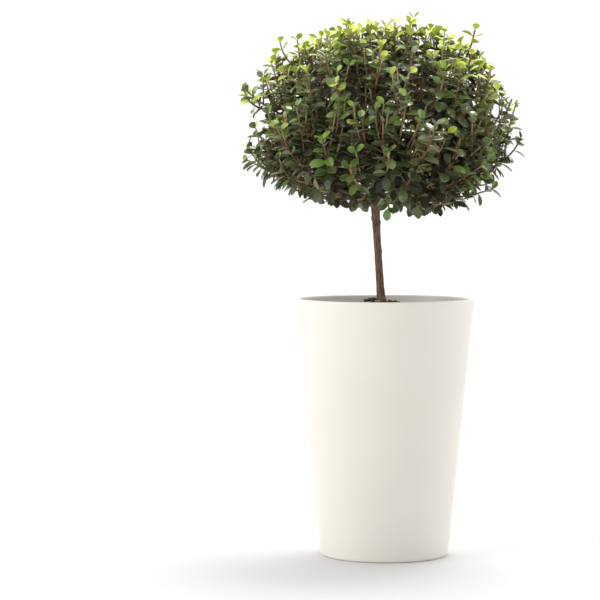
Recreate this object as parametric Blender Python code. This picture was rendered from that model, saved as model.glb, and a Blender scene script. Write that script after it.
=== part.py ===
"""A small round-headed standard tree with box-like leaves, growing in a tall tapered pot.

Units are metres, +Z is up and -Y is the front. The origin is the centre of the pot's flat
underside. A clear stem leans a little on its way to a fork inside the head. Boughs fan out from
the stem near its fork, each to a mass of foliage: seven masses in a low ring, five in a high ring
and one on top. Each mass keeps to a space of its own, the points that are nearer to its heart
than to any other, and fills it with shoots that carry square-set pairs of leaves up to the head's
outline. Neighbouring solids are a seat's gap apart.
"""

import math
import random

import bmesh
import bpy
from mathutils import Matrix, Vector
from mathutils.bvhtree import BVHTree

SEAT_GAP = 0.0003
UP = Vector((0.0, 0.0, 1.0))

# The pot, a tapered shell with a round lip and a small rounding at the foot.
POT_HEIGHT = 0.2424
POT_RIM_RADIUS = 0.085
POT_FOOT_RADIUS = 0.0606
POT_WALL = 0.0045
POT_FLOOR = 0.006
POT_FOOT_ROUNDING = 0.0015
POT_FOOT_STEPS = 2
POT_LIP_STEPS = 4
POT_SIDES = 64
POT_TAPER = math.atan((POT_RIM_RADIUS - POT_FOOT_RADIUS) / POT_HEIGHT)

# The potting soil, a low mound with a flat patch that the stem stands on.
SOIL_TOP = 0.2400
SOIL_EDGE_DROP = 0.0085
SOIL_PATCH_RADIUS = 0.0095
SOIL_MOUND_STEPS = 3
SOIL_SIDES = 40

# The clear stem: its curve, and its radius at shares of the way up. It flares at the root, and
# swells where the boughs begin.
TRUNK_FOOT = Vector((-0.0030, 0.0, SOIL_TOP + SEAT_GAP))
TRUNK_BEND = Vector((-0.0078, 0.0010, 0.3050))
TRUNK_TOP = Vector((-0.0105, 0.0015, 0.3660))
TRUNK_RADII = (
    (0.0, 0.0050),
    (0.03, 0.0042),
    (0.10, 0.0037),
    (0.45, 0.0034),
    (0.70, 0.0042),
    (0.82, 0.0038),
    (1.0, 0.0026),
)
TRUNK_SIDES = 10

# The head's outline, a rounded drum that is flatter below than above.
HEAD_CENTRE = Vector((-0.0010, 0.0, 0.397))
HEAD_RADIUS = 0.128
HEAD_RISE = 0.107
HEAD_DROP = 0.075
HEAD_TOP_POWER = 2.9
HEAD_UNDER_POWER = 2.7

# The masses' hearts: a low ring, a high ring and the top. The rings rise and fall on their way
# round, so the spaces between the masses never line up into one flat gap.
LOW_MASSES = 7
LOW_TURN = math.radians(12.9)
LOW_HEART_RADIUS = 0.078
LOW_HEART_HEIGHT = 0.366
LOW_HEART_WAVE = 0.018
HIGH_MASSES = 5
HIGH_TURN = math.radians(22)
HIGH_HEART_RADIUS = 0.056
HIGH_HEART_HEIGHT = 0.438
HIGH_HEART_WAVE = 0.016
TOP_HEART = Vector((-0.001, 0.0, 0.462))
WAVES_ROUND = 3
SWINGS_ROUND = 2
SWING_PER_WAVE = 0.5
SPACE_MARGIN = 0.0002

# The boughs. Those of a ring leave the stem one above the other, and end the same reach from it.
LOW_BOUGH_FOOT = 0.3325
LOW_BOUGH_STEP = 0.0020
LOW_BOUGH_REACH = 0.036
LOW_BOUGH_TIP_HEIGHT = 0.3400
LOW_BOUGH_TIP_FOLLOW = 0.4
LOW_BOUGH_BEND = (0.0, -0.001)
LOW_BOUGH_RADII = (0.0016, 0.0012)
HIGH_BOUGH_FOOT = 0.3490
HIGH_BOUGH_STEP = 0.0022
HIGH_BOUGH_REACH = 0.020
HIGH_BOUGH_TIP_HEIGHT = 0.3990
HIGH_BOUGH_BEND = (0.004, -0.003)
HIGH_BOUGH_RADII = (0.0018, 0.0013)
TOP_BOUGH_TIP = Vector((-0.004, 0.0005, 0.4030))
TOP_BOUGH_BEND = Vector((-0.002, 0.0, 0.0))
TOP_BOUGH_RADII = (0.0022, 0.0014)
BOUGH_ORDER = 3
BOUGH_SIDES = 6
BOUGH_STEPS = 4

# A mass's stem, which carries on from its bough's tip towards its heart.
STEM_REACH = 0.80
STEM_STRAIGHTNESS = 0.45
STEM_TIP_RADIUS = 0.0009
STEM_STEPS = 4
STEM_SIDES = 4
STEM_FIRST_SHOOT = 0.30
STEM_LAST_SHOOT = 0.98

# The shoots. Most end evenly spread over the head's outline, and a few longer ones stand out.
SHOOT_COUNT = 96
SHOOT_LOWEST = -0.92
SHOOT_HIGHEST = 0.995
SHOOT_INSET = 0.870
SHOOT_INSET_CHANCE = 0.055
SHOOT_LEAN_LOW = 0.15
SHOOT_LEAN_GAIN = 1.1
SHOOT_STRAIGHTNESS = 0.5
SHOOT_ROOM = 0.002
SHOOT_DRAW = 0.06
SHOOT_RADII = (0.0010, 0.0007)
SHOOT_STEPS = 3
SHOOT_SIDES = 3
LONG_SHOOT_TIPS = (
    Vector((-0.1270, -0.022, 0.432)),
    Vector((-0.1240, 0.012, 0.380)),
    Vector((0.1200, 0.018, 0.427)),
    Vector((0.1240, -0.024, 0.388)),
    Vector((0.0270, 0.004, 0.502)),
    Vector((0.0830, -0.012, 0.490)),
    Vector((-0.0300, 0.122, 0.412)),
    Vector((0.0400, -0.120, 0.398)),
)

# The leaves, larger than life because there are fewer. They begin at a share of the way out to
# the head's outline, and shrink towards each shoot's tip. The outline's corners, the crest and
# the thickness are shares of the length.
LEAFY_SHARE = 0.47
LEAFY_SAMPLES = 40
LEAF_LENGTH = 0.0225
LEAF_INNER_SIZE = 1.32
LEAF_TIP_SIZE = 0.74
LEAF_SIZE_CHANCE = 0.08
LEAF_OUTLINE = ((0.0, 0.0), (0.60, 0.33), (0.97, 0.13), (0.97, -0.13), (0.60, -0.33))
LEAF_CREST = 0.45
LEAF_THICKNESS = 0.035
LEAF_SPACING = 0.0185
LEAF_ROOT = 0.0002
LEAF_SPREAD = math.radians(58)
LEAF_SPREAD_CHANCE = 0.15
LEAF_PAIR_SHIFT = 0.01
TIP_PAIR_SHARE = 0.98
TIP_PAIR_SPREAD = 0.62
LEAF_OUTWARD = 0.6
LEAF_UPWARD = 0.4
LEAF_LEAST_FACING = math.radians(14)
LEAF_TRIES = 8
LEAF_TRY_TURN = 0.4
LEAF_TRY_SHRINK = 0.96
SEED = 7

# Finishes: name, base colour and roughness. Shading is smooth up to an angle between faces.
GLAZE = ("glazed white", (0.86, 0.83, 0.76), 0.35)
SOIL = ("potting soil", (0.045, 0.026, 0.017), 0.95)
BARK = ("bark", (0.155, 0.082, 0.052), 0.80)
LEAF = ("leaf", (0.060, 0.120, 0.022), 0.45)
SMOOTH_POT = math.radians(35)
SMOOTH_SOIL = math.radians(40)
SMOOTH_LIMB = math.radians(50)


def material(finish):
    """The Principled material of a finish, made once."""
    name, colour, roughness = finish
    if name in bpy.data.materials:
        return bpy.data.materials[name]
    made = bpy.data.materials.new(name)
    made.use_nodes = True
    shader = made.node_tree.nodes["Principled BSDF"]
    shader.inputs["Base Color"].default_value = (*colour, 1.0)
    shader.inputs["Roughness"].default_value = roughness
    shader.inputs["Metallic"].default_value = 0.0
    return made


def place(name, shape, finish, smooth_angle=None):
    """Puts a bmesh into the scene as a named object with its finish, and frees the bmesh."""
    bmesh.ops.recalc_face_normals(shape, faces=shape.faces)
    mesh = bpy.data.meshes.new(name)
    shape.to_mesh(mesh)
    shape.free()
    mesh.materials.append(material(finish))
    if smooth_angle is not None:
        mesh.shade_smooth()
        mesh.set_sharp_from_angle(angle=smooth_angle)
    placed = bpy.data.objects.new(name, mesh)
    bpy.context.scene.collection.objects.link(placed)
    return placed


# ---------------------------------------------------------------- pot and soil


def turned(name, profile, sides, finish, smooth_angle):
    """A solid turned about Z from (radius, height) points that start and end on the axis."""
    shape = bmesh.new()
    points = [shape.verts.new((radius, 0.0, height)) for radius, height in profile]
    edges = [shape.edges.new(pair) for pair in zip(points, points[1:])]
    bmesh.ops.spin(
        shape,
        geom=points + edges,
        cent=(0, 0, 0),
        axis=(0, 0, 1),
        angle=2 * math.pi,
        steps=sides,
        use_merge=True,
    )
    bmesh.ops.remove_doubles(shape, verts=shape.verts, dist=1e-6)
    return place(name, shape, finish, smooth_angle)


def pot_outer_radius(height):
    """The pot's outer radius at a height."""
    return POT_FOOT_RADIUS + (POT_RIM_RADIUS - POT_FOOT_RADIUS) * height / POT_HEIGHT


def pot_inner_radius(height):
    """The pot's inner radius at a height, a wall's thickness in from the sloping outside."""
    return pot_outer_radius(height) - POT_WALL / math.cos(POT_TAPER)


def arc(centre, radius, first, last, steps):
    """(radius, height) points round a centre, from one angle to another."""
    turns = [first + (last - first) * i / steps for i in range(steps + 1)]
    return [(centre[0] + radius * math.cos(turn), centre[1] + radius * math.sin(turn)) for turn in turns]


def make_pot():
    """A turned shell: flat underside, rounded foot, sloping wall, round lip and flat inner floor."""
    foot_centre = (pot_outer_radius(POT_FOOT_ROUNDING) - POT_FOOT_ROUNDING, POT_FOOT_ROUNDING)
    foot = arc(foot_centre, POT_FOOT_ROUNDING, -math.pi / 2, 0.0, POT_FOOT_STEPS)
    lip_height = POT_HEIGHT - POT_WALL / 2
    lip_centre = ((pot_outer_radius(lip_height) + pot_inner_radius(lip_height)) / 2, lip_height)
    lip = arc(lip_centre, POT_WALL / 2, -POT_TAPER, math.pi - POT_TAPER, POT_LIP_STEPS)
    floor = [(pot_inner_radius(POT_FLOOR), POT_FLOOR), (0.0, POT_FLOOR)]
    return turned("pot", [(0.0, 0.0)] + foot + lip + floor, POT_SIDES, GLAZE, SMOOTH_POT)


def make_soil():
    """The soil, from just above the pot's floor to a low mound, a seat's gap clear of the wall."""
    floor = POT_FLOOR + SEAT_GAP
    clear = SEAT_GAP / math.cos(POT_TAPER)
    edge_height = SOIL_TOP - SOIL_EDGE_DROP
    edge_radius = pot_inner_radius(edge_height) - clear
    profile = [(0.0, floor), (pot_inner_radius(floor) - clear, floor)]
    for i in range(SOIL_MOUND_STEPS + 1):
        share = i / SOIL_MOUND_STEPS
        radius = edge_radius + (SOIL_PATCH_RADIUS - edge_radius) * share
        profile.append((radius, edge_height + SOIL_EDGE_DROP * (1 - math.cos(share * math.pi / 2))))
    profile.append((0.0, SOIL_TOP))
    return turned("potting_soil", profile, SOIL_SIDES, SOIL, SMOOTH_SOIL)


# ---------------------------------------------------------------- limbs


def curve_point(start, bend, end, share):
    """The point at this share of the way along a quadratic curve."""
    return (1 - share) ** 2 * start + 2 * share * (1 - share) * bend + share**2 * end


def curve_heading(start, bend, end, share):
    """The way a quadratic curve heads at this share of its course."""
    return ((1 - share) * (bend - start) + share * (end - bend)).normalized()


def curve(start, bend, end, steps):
    """A quadratic curve as steps + 1 points."""
    return [curve_point(start, bend, end, i / steps) for i in range(steps + 1)]


def taper(first, last, steps):
    """Radii from first to last in steps + 1 even values."""
    return [first + (last - first) * i / steps for i in range(steps + 1)]


def tube(path, radii, sides):
    """A bmesh of a tapering tube with flat ends: a ring of corners at each point of a path."""
    last = len(path) - 1
    headings = [(path[min(i + 1, last)] - path[max(i - 1, 0)]).normalized() for i in range(last + 1)]
    shape = bmesh.new()
    side = headings[0].orthogonal().normalized()
    rings = []
    for i, (centre, heading, radius) in enumerate(zip(path, headings, radii)):
        if i:
            side = headings[i - 1].rotation_difference(heading) @ side
        corner = side * radius
        step = Matrix.Rotation(2 * math.pi / sides, 3, heading)
        ring = []
        for _ in range(sides):
            ring.append(shape.verts.new(centre + corner))
            corner = step @ corner
        rings.append(ring)
    for before, after in zip(rings, rings[1:]):
        for i in range(sides):
            shape.faces.new((before[i - 1], before[i], after[i], after[i - 1]))
    shape.faces.new(rings[0])
    shape.faces.new(rings[-1])
    bmesh.ops.recalc_face_normals(shape, faces=shape.faces)
    return shape


def trunk_point(height):
    """The point on the stem's centre line at a height, found by halving."""
    low, high = 0.0, 1.0
    while high - low > 1e-6:
        middle = (low + high) / 2
        if curve_point(TRUNK_FOOT, TRUNK_BEND, TRUNK_TOP, middle).z < height:
            low = middle
        else:
            high = middle
    return curve_point(TRUNK_FOOT, TRUNK_BEND, TRUNK_TOP, low)


def trunk_tube(grown=0.0):
    """The stem's tube with a level foot, or one that is thicker all round and longer at the top."""
    path = [curve_point(TRUNK_FOOT, TRUNK_BEND, TRUNK_TOP, share) for share, _ in TRUNK_RADII]
    path[-1] = path[-1] + (path[-1] - path[-2]).normalized() * grown
    shape = tube(path, [radius + grown for _, radius in TRUNK_RADII], TRUNK_SIDES)
    for corner in list(shape.verts)[:TRUNK_SIDES]:
        corner.co.z = TRUNK_FOOT.z
    return shape


def make_trunk():
    """The stem, from a flat cut on the soil to its fork, and the hidden sleeve that trims boughs."""
    place("trunk", trunk_tube(), BARK, SMOOTH_LIMB)
    sleeve = place("trunk_sleeve", trunk_tube(SEAT_GAP), BARK)
    sleeve.hide_render = True
    sleeve.display_type = "WIRE"
    return sleeve


class Bough:
    """One tapering limb: its curve and its first and last radius."""

    def __init__(self, start, bend, end, radii):
        self.start = start
        self.bend = bend
        self.end = end
        self.radii = radii

    def tube(self, grown=0.0):
        """The limb's tube, or one that is thicker all round."""
        radii = [radius + grown for radius in taper(*self.radii, BOUGH_STEPS)]
        return tube(curve(self.start, self.bend, self.end, BOUGH_STEPS), radii, BOUGH_SIDES)


def top_bough():
    """The bough that carries on from the end of the stem to the top mass."""
    start = TRUNK_TOP + (TRUNK_TOP - TRUNK_BEND).normalized() * SEAT_GAP
    return Bough(start, start.lerp(TOP_BOUGH_TIP, 0.5) + TOP_BOUGH_BEND, TOP_BOUGH_TIP, TOP_BOUGH_RADII)


def side_bough(heart, foot, reach, tip_height, bend_out_and_up, radii):
    """A bough from a height on the stem's centre line towards the side where its mass's heart lies."""
    outward = Vector((heart.x - HEAD_CENTRE.x, heart.y - HEAD_CENTRE.y, 0.0)).normalized()
    start = trunk_point(foot)
    end = Vector((TRUNK_TOP.x, TRUNK_TOP.y, tip_height)) + outward * reach
    bend = start.lerp(end, 0.5) + outward * bend_out_and_up[0] + UP * bend_out_and_up[1]
    return Bough(start, bend, end, radii)


def make_bough(name, bough, sleeve):
    """One limb in the scene. One from the stem's side is trimmed to a seat's gap from the stem."""
    made = place(f"bough_{name}", bough.tube(), BARK, SMOOTH_LIMB)
    if name != "top":
        trim = made.modifiers.new("trim", "BOOLEAN")
        trim.operation = "DIFFERENCE"
        trim.object = sleeve
    return made


# ---------------------------------------------------------------- the head's plan


def ring_heart(turn, radius, height, wave):
    """A heart on a ring round the head's axis, which rises and falls, and swings in and out."""
    swung = radius + SWING_PER_WAVE * wave * math.sin(SWINGS_ROUND * turn)
    raised = height + wave * math.cos(WAVES_ROUND * turn)
    return Vector((HEAD_CENTRE.x + swung * math.cos(turn), HEAD_CENTRE.y + swung * math.sin(turn), raised))


def plan_masses():
    """The heart and the bough of each mass, by the mass's name."""
    hearts, boughs = {}, {}
    for i in range(LOW_MASSES):
        turn = LOW_TURN + 2 * math.pi * i / LOW_MASSES
        heart = ring_heart(turn, LOW_HEART_RADIUS, LOW_HEART_HEIGHT, LOW_HEART_WAVE)
        foot = LOW_BOUGH_FOOT + LOW_BOUGH_STEP * ((i + 1) * BOUGH_ORDER % LOW_MASSES)
        tip = LOW_BOUGH_TIP_HEIGHT + LOW_BOUGH_TIP_FOLLOW * (heart.z - LOW_HEART_HEIGHT)
        bough = side_bough(heart, foot, LOW_BOUGH_REACH, tip, LOW_BOUGH_BEND, LOW_BOUGH_RADII)
        hearts[f"low_{i + 1}"] = heart
        boughs[f"low_{i + 1}"] = bough
    for i in range(HIGH_MASSES):
        turn = HIGH_TURN + 2 * math.pi * i / HIGH_MASSES
        heart = ring_heart(turn, HIGH_HEART_RADIUS, HIGH_HEART_HEIGHT, HIGH_HEART_WAVE)
        foot = HIGH_BOUGH_FOOT + HIGH_BOUGH_STEP * ((i + 1) * BOUGH_ORDER % HIGH_MASSES)
        tip = HIGH_BOUGH_TIP_HEIGHT
        bough = side_bough(heart, foot, HIGH_BOUGH_REACH, tip, HIGH_BOUGH_BEND, HIGH_BOUGH_RADII)
        hearts[f"high_{i + 1}"] = heart
        boughs[f"high_{i + 1}"] = bough
    hearts["top"] = TOP_HEART
    boughs["top"] = top_bough()
    return hearts, boughs


class Space:
    """The space of one mass: the points nearer to its heart than to any other."""

    def __init__(self, name, hearts):
        self.heart = hearts[name]
        self.walls = []
        for other, heart in hearts.items():
            if other != name:
                away = (heart - self.heart).normalized()
                self.walls.append((away, away.dot((heart + self.heart) / 2) - SPACE_MARGIN))

    def holds(self, point, room=0.0):
        """Whether a point lies inside, with this much room to every wall."""
        return all(away.dot(point) <= wall - room for away, wall in self.walls)

    def holds_all(self, shape):
        """Whether all of a shape lies inside."""
        return all(self.holds(corner.co) for corner in shape.verts)

    def drawn_in(self, point):
        """The point, moved towards the heart until it has a shoot's room to every wall."""
        while not self.holds(point, SHOOT_ROOM):
            point = point.lerp(self.heart, SHOOT_DRAW)
        return point


def head_share(point):
    """How far out a point lies: 0 at the head's centre and 1 on its outline."""
    offset = point - HEAD_CENTRE
    above = offset.z > 0
    flat = math.hypot(offset.x, offset.y) / HEAD_RADIUS
    tall = abs(offset.z) / (HEAD_RISE if above else HEAD_DROP)
    power = HEAD_TOP_POWER if above else HEAD_UNDER_POWER
    return (flat**power + tall**power) ** (1 / power)


def shoot_tips():
    """The ends of all shoots: in golden-angle order over the outline, each set in a little by chance."""
    chance = random.Random(SEED)
    golden = math.pi * (3 - math.sqrt(5))
    tips = []
    for i in range(SHOOT_COUNT):
        rise = SHOOT_LOWEST + (SHOOT_HIGHEST - SHOOT_LOWEST) * (i + 0.5) / SHOOT_COUNT
        flat = math.sqrt(1 - rise * rise)
        direction = Vector((flat * math.cos(golden * i), flat * math.sin(golden * i), rise))
        inset = SHOOT_INSET + chance.uniform(-SHOOT_INSET_CHANCE, SHOOT_INSET_CHANCE)
        tips.append(HEAD_CENTRE + direction * inset / head_share(HEAD_CENTRE + direction))
    return tips + list(LONG_SHOOT_TIPS)


# ---------------------------------------------------------------- foliage


def stem_of(bough, space):
    """(start, bend, end) of a mass's stem, from just past its bough's tip towards its heart."""
    onward = curve_heading(bough.start, bough.bend, bough.end, 1.0)
    start = bough.end + onward * SEAT_GAP
    end = start.lerp(space.heart, STEM_REACH)
    return start, start + onward * (end - start).length * STEM_STRAIGHTNESS, end


def shoot_heading(tip):
    """The way a shoot points at its tip: outwards low on the head, and ever more upright above."""
    outward = (tip - HEAD_CENTRE).normalized()
    height = (tip.z - (HEAD_CENTRE.z - HEAD_DROP)) / (HEAD_RISE + HEAD_DROP)
    return (outward + UP * (SHOOT_LEAN_LOW + SHOOT_LEAN_GAIN * height)).normalized()


def shoots_of(stem, tips, space):
    """(start, bend, end) of each shoot of a mass. Tips in line with the stem start nearest its end."""
    heading = (stem[2] - stem[0]).normalized()
    ranked = sorted(tips, key=lambda tip: (tip - stem[0]).normalized().dot(heading))
    for rank, tip in enumerate(ranked):
        share = STEM_FIRST_SHOOT + (STEM_LAST_SHOOT - STEM_FIRST_SHOOT) * (rank + 0.5) / len(ranked)
        start = curve_point(*stem, share)
        end = space.drawn_in(tip)
        bend = end - shoot_heading(end) * (end - start).length * SHOOT_STRAIGHTNESS
        yield start, space.drawn_in(bend), end


def leaf_pairs(shoot, chance):
    """(share of the shoot, turn, length) of each pair of leaves, set square to the pair before."""
    deep = [i / LEAFY_SAMPLES for i in range(LEAFY_SAMPLES)]
    bare = max((share for share in deep if head_share(curve_point(*shoot, share)) < LEAFY_SHARE), default=0)
    points = curve(*shoot, SHOOT_STEPS)
    leafy_length = sum((end - start).length for start, end in zip(points, points[1:])) * (1 - bare)
    count = max(1, round(leafy_length / LEAF_SPACING))
    first_turn = chance.uniform(0, math.pi)
    for i in range(count):
        outer = (i + 1) / count if count > 1 else 0.5
        size = LEAF_LENGTH * (LEAF_INNER_SIZE + (LEAF_TIP_SIZE - LEAF_INNER_SIZE) * outer)
        size *= chance.uniform(1 - LEAF_SIZE_CHANCE, 1 + LEAF_SIZE_CHANCE)
        share = min(bare + (1 - bare) * (i + 1) / count, TIP_PAIR_SHARE)
        yield share, first_turn + i * math.pi / 2, size


def leaf_shape(root, direction, face, length):
    """A leaf of eight triangles: five-cornered, flat below, and raised to one crest above."""
    across = face.cross(direction).normalized()
    above = direction.cross(across)
    shape = bmesh.new()
    rim = [shape.verts.new(root + (direction * on + across * off) * length) for on, off in LEAF_OUTLINE]
    crest = shape.verts.new(root + (direction * LEAF_CREST + above * LEAF_THICKNESS) * length)
    shape.faces.new(rim)
    for first, second in zip(rim, rim[1:] + rim[:1]):
        shape.faces.new((first, second, crest))
    bmesh.ops.recalc_face_normals(shape, faces=shape.faces)
    return shape


def touches(shape, obstacles):
    """Whether a shape crosses any of the search trees."""
    tree = BVHTree.FromBMesh(shape)
    return any(tree.overlap(obstacle) for obstacle in obstacles)


def grow_leaf(shoot, share, turn, size, space, obstacles, chance):
    """A leaf on a shoot, turned and shrunk a little until it clears the walls and the obstacles."""
    root = curve_point(*shoot, share)
    along = curve_heading(*shoot, share)
    side = along.orthogonal().normalized()
    other = along.cross(side)
    spread = LEAF_SPREAD * chance.uniform(1 - LEAF_SPREAD_CHANCE, 1 + LEAF_SPREAD_CHANCE)
    if share > TIP_PAIR_SHARE - 2 * LEAF_PAIR_SHIFT:
        spread *= TIP_PAIR_SPREAD
    outward = (root - HEAD_CENTRE).normalized()
    for attempt in range(LEAF_TRIES):
        angle = turn + attempt * LEAF_TRY_TURN
        out = math.cos(angle) * side + math.sin(angle) * other
        direction = math.cos(spread) * along + math.sin(spread) * out
        face = along + outward * LEAF_OUTWARD + UP * LEAF_UPWARD
        if face.angle(direction) < LEAF_LEAST_FACING:
            face = along
        length = size * LEAF_TRY_SHRINK**attempt
        leaf = leaf_shape(root - direction * LEAF_ROOT, direction, face, length)
        if space.holds_all(leaf) and not touches(leaf, obstacles):
            return leaf
        leaf.free()
    return None


def shells_of(shape):
    """The sets of faces that hang together by their edges."""
    left = set(shape.faces)
    while left:
        shell, fresh = set(), [left.pop()]
        while fresh:
            face = fresh.pop()
            shell.add(face)
            neighbours = {other for edge in face.edges for other in edge.link_faces} & left
            left -= neighbours
            fresh.extend(neighbours)
        yield shell


def keep_outer_shell(mesh):
    """Drops every shell but the largest: a sealed hollow is filled, and a loose scrap goes."""
    shape = bmesh.new()
    shape.from_mesh(mesh)
    shells = sorted(shells_of(shape), key=len)
    bmesh.ops.delete(shape, geom=[face for shell in shells[:-1] for face in shell], context="FACES")
    bmesh.ops.triangulate(shape, faces=shape.faces)
    shape.to_mesh(mesh)
    shape.free()


def fuse(carrier, shapes):
    """Joins all shapes to the carrier by one Boolean union, and keeps the outer shell."""
    pieces = bpy.data.collections.new(f"{carrier.name}_pieces")
    for shape in shapes:
        mesh = bpy.data.meshes.new("piece")
        shape.to_mesh(mesh)
        shape.free()
        pieces.objects.link(bpy.data.objects.new("piece", mesh))
    union = carrier.modifiers.new("fuse", "BOOLEAN")
    union.operation = "UNION"
    union.operand_type = "COLLECTION"
    union.collection = pieces
    graph = bpy.context.evaluated_depsgraph_get()
    joined = bpy.data.meshes.new_from_object(carrier.evaluated_get(graph))
    carrier.modifiers.clear()
    carrier.data = joined
    for piece in list(pieces.objects):
        bpy.data.objects.remove(piece)
    bpy.data.collections.remove(pieces)
    keep_outer_shell(joined)


def make_mass(name, bough, space, tips, limbs):
    """One mass of foliage: a stem, the shoots that stay clear of limbs, and their leaves, fused."""
    chance = random.Random(f"{SEED} {name}")
    stem = stem_of(bough, space)
    stem_radii = taper(bough.radii[1], STEM_TIP_RADIUS, STEM_STEPS)
    carrier = place(f"foliage_{name}", tube(curve(*stem, STEM_STEPS), stem_radii, STEM_SIDES), LEAF)
    shoots, twigs = [], []
    for shoot in shoots_of(stem, tips, space):
        twig = tube(curve(*shoot, SHOOT_STEPS), taper(*SHOOT_RADII, SHOOT_STEPS), SHOOT_SIDES)
        if space.holds_all(twig) and not touches(twig, [limbs]):
            shoots.append(shoot)
            twigs.append(twig)
    twig_trees = [BVHTree.FromBMesh(twig) for twig in twigs]
    leaves, leaf_trees = [], []
    for number, shoot in enumerate(shoots):
        other_twigs = twig_trees[:number] + twig_trees[number + 1 :]
        for share, turn, size in leaf_pairs(shoot, chance):
            for half_turn, shift in ((0.0, 0.0), (math.pi, LEAF_PAIR_SHIFT)):
                obstacles = [limbs] + other_twigs + leaf_trees
                leaf = grow_leaf(shoot, share - shift, turn + half_turn, size, space, obstacles, chance)
                if leaf:
                    leaves.append(leaf)
                    leaf_trees.append(BVHTree.FromBMesh(leaf))
    fuse(carrier, twigs + leaves)
    return carrier


def limbs_with_room(boughs):
    """A search tree of the stem and all boughs, each a seat's gap thicker than it is."""
    together = bmesh.new()
    for limb in [trunk_tube(SEAT_GAP)] + [bough.tube(SEAT_GAP) for bough in boughs]:
        mesh = bpy.data.meshes.new("limb")
        limb.to_mesh(mesh)
        limb.free()
        together.from_mesh(mesh)
        bpy.data.meshes.remove(mesh)
    tree = BVHTree.FromBMesh(together)
    together.free()
    return tree


def main():
    """Clears the scene and builds the pot, the soil, the limbs and the masses of foliage."""
    for left_over in list(bpy.data.objects):
        bpy.data.objects.remove(left_over)
    make_pot()
    make_soil()
    sleeve = make_trunk()
    hearts, boughs = plan_masses()
    for name, bough in boughs.items():
        make_bough(name, bough, sleeve)
    limbs = limbs_with_room(boughs.values())
    tips = shoot_tips()
    for name, bough in boughs.items():
        space = Space(name, hearts)
        make_mass(name, bough, space, [tip for tip in tips if space.holds(tip)], limbs)


main()
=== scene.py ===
"""The looks of a small round-headed standard tree with box-like leaves in a tall tapered pot.

Units are metres, +Z is up, -Y is the front, and the origin is the centre of the pot's underside.
The bark, the soil, the pot and every mass of foliage are pieces of their own, each in the place of
the plain solid that it stands for. The shoots of each mass start by the same seeded rule as the
solids do, and go on to finer side shoots and life-sized leaves within the same reach.
"""

import logging
import math
import random
from collections.abc import Iterator, Sequence
from dataclasses import dataclass, field
from enum import Enum

import bmesh
import bpy
import numpy as np
from mathutils import Matrix, Vector, noise


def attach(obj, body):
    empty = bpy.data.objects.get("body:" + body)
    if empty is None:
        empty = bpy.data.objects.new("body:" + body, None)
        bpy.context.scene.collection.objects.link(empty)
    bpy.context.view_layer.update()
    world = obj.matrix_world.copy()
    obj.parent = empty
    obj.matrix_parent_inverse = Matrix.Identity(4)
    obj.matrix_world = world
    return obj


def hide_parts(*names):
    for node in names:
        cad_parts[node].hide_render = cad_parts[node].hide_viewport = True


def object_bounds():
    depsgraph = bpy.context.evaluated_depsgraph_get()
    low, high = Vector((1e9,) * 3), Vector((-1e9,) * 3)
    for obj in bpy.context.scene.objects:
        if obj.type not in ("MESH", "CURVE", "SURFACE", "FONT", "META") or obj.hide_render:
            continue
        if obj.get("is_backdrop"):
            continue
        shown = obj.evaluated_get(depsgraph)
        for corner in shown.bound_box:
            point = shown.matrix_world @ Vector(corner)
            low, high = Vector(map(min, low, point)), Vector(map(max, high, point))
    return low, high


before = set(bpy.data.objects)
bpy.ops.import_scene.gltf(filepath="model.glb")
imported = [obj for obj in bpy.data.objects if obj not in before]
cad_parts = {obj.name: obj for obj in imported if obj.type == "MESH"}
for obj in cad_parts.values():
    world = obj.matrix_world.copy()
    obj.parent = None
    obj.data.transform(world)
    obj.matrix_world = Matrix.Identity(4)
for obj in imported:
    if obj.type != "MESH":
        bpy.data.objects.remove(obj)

LOG = logging.getLogger("standard_tree")
Triple = tuple[float, float, float]
Colour = Triple
UP = Vector((0.0, 0.0, 1.0))


def clamped(value: float) -> float:
    """The value, held between 0 and 1."""
    return min(max(value, 0.0), 1.0)


def points(*rows: Triple) -> tuple[Vector, ...]:
    """The rows as points."""
    return tuple(Vector(row) for row in rows)


# ------------------------------------------------------------------ finishes


def new_material(name: str, roughness: float) -> tuple[bpy.types.Material, bpy.types.ShaderNode]:
    """A new node material and its Principled shader.

    Args:
        name: The material's name.
        roughness: The shader's own roughness.

    Returns:
        The material and its shader node.
    """
    material = bpy.data.materials.new(name)
    material.use_nodes = True
    shader = material.node_tree.nodes["Principled BSDF"]
    shader.inputs["Roughness"].default_value = roughness
    return material, shader


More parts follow.
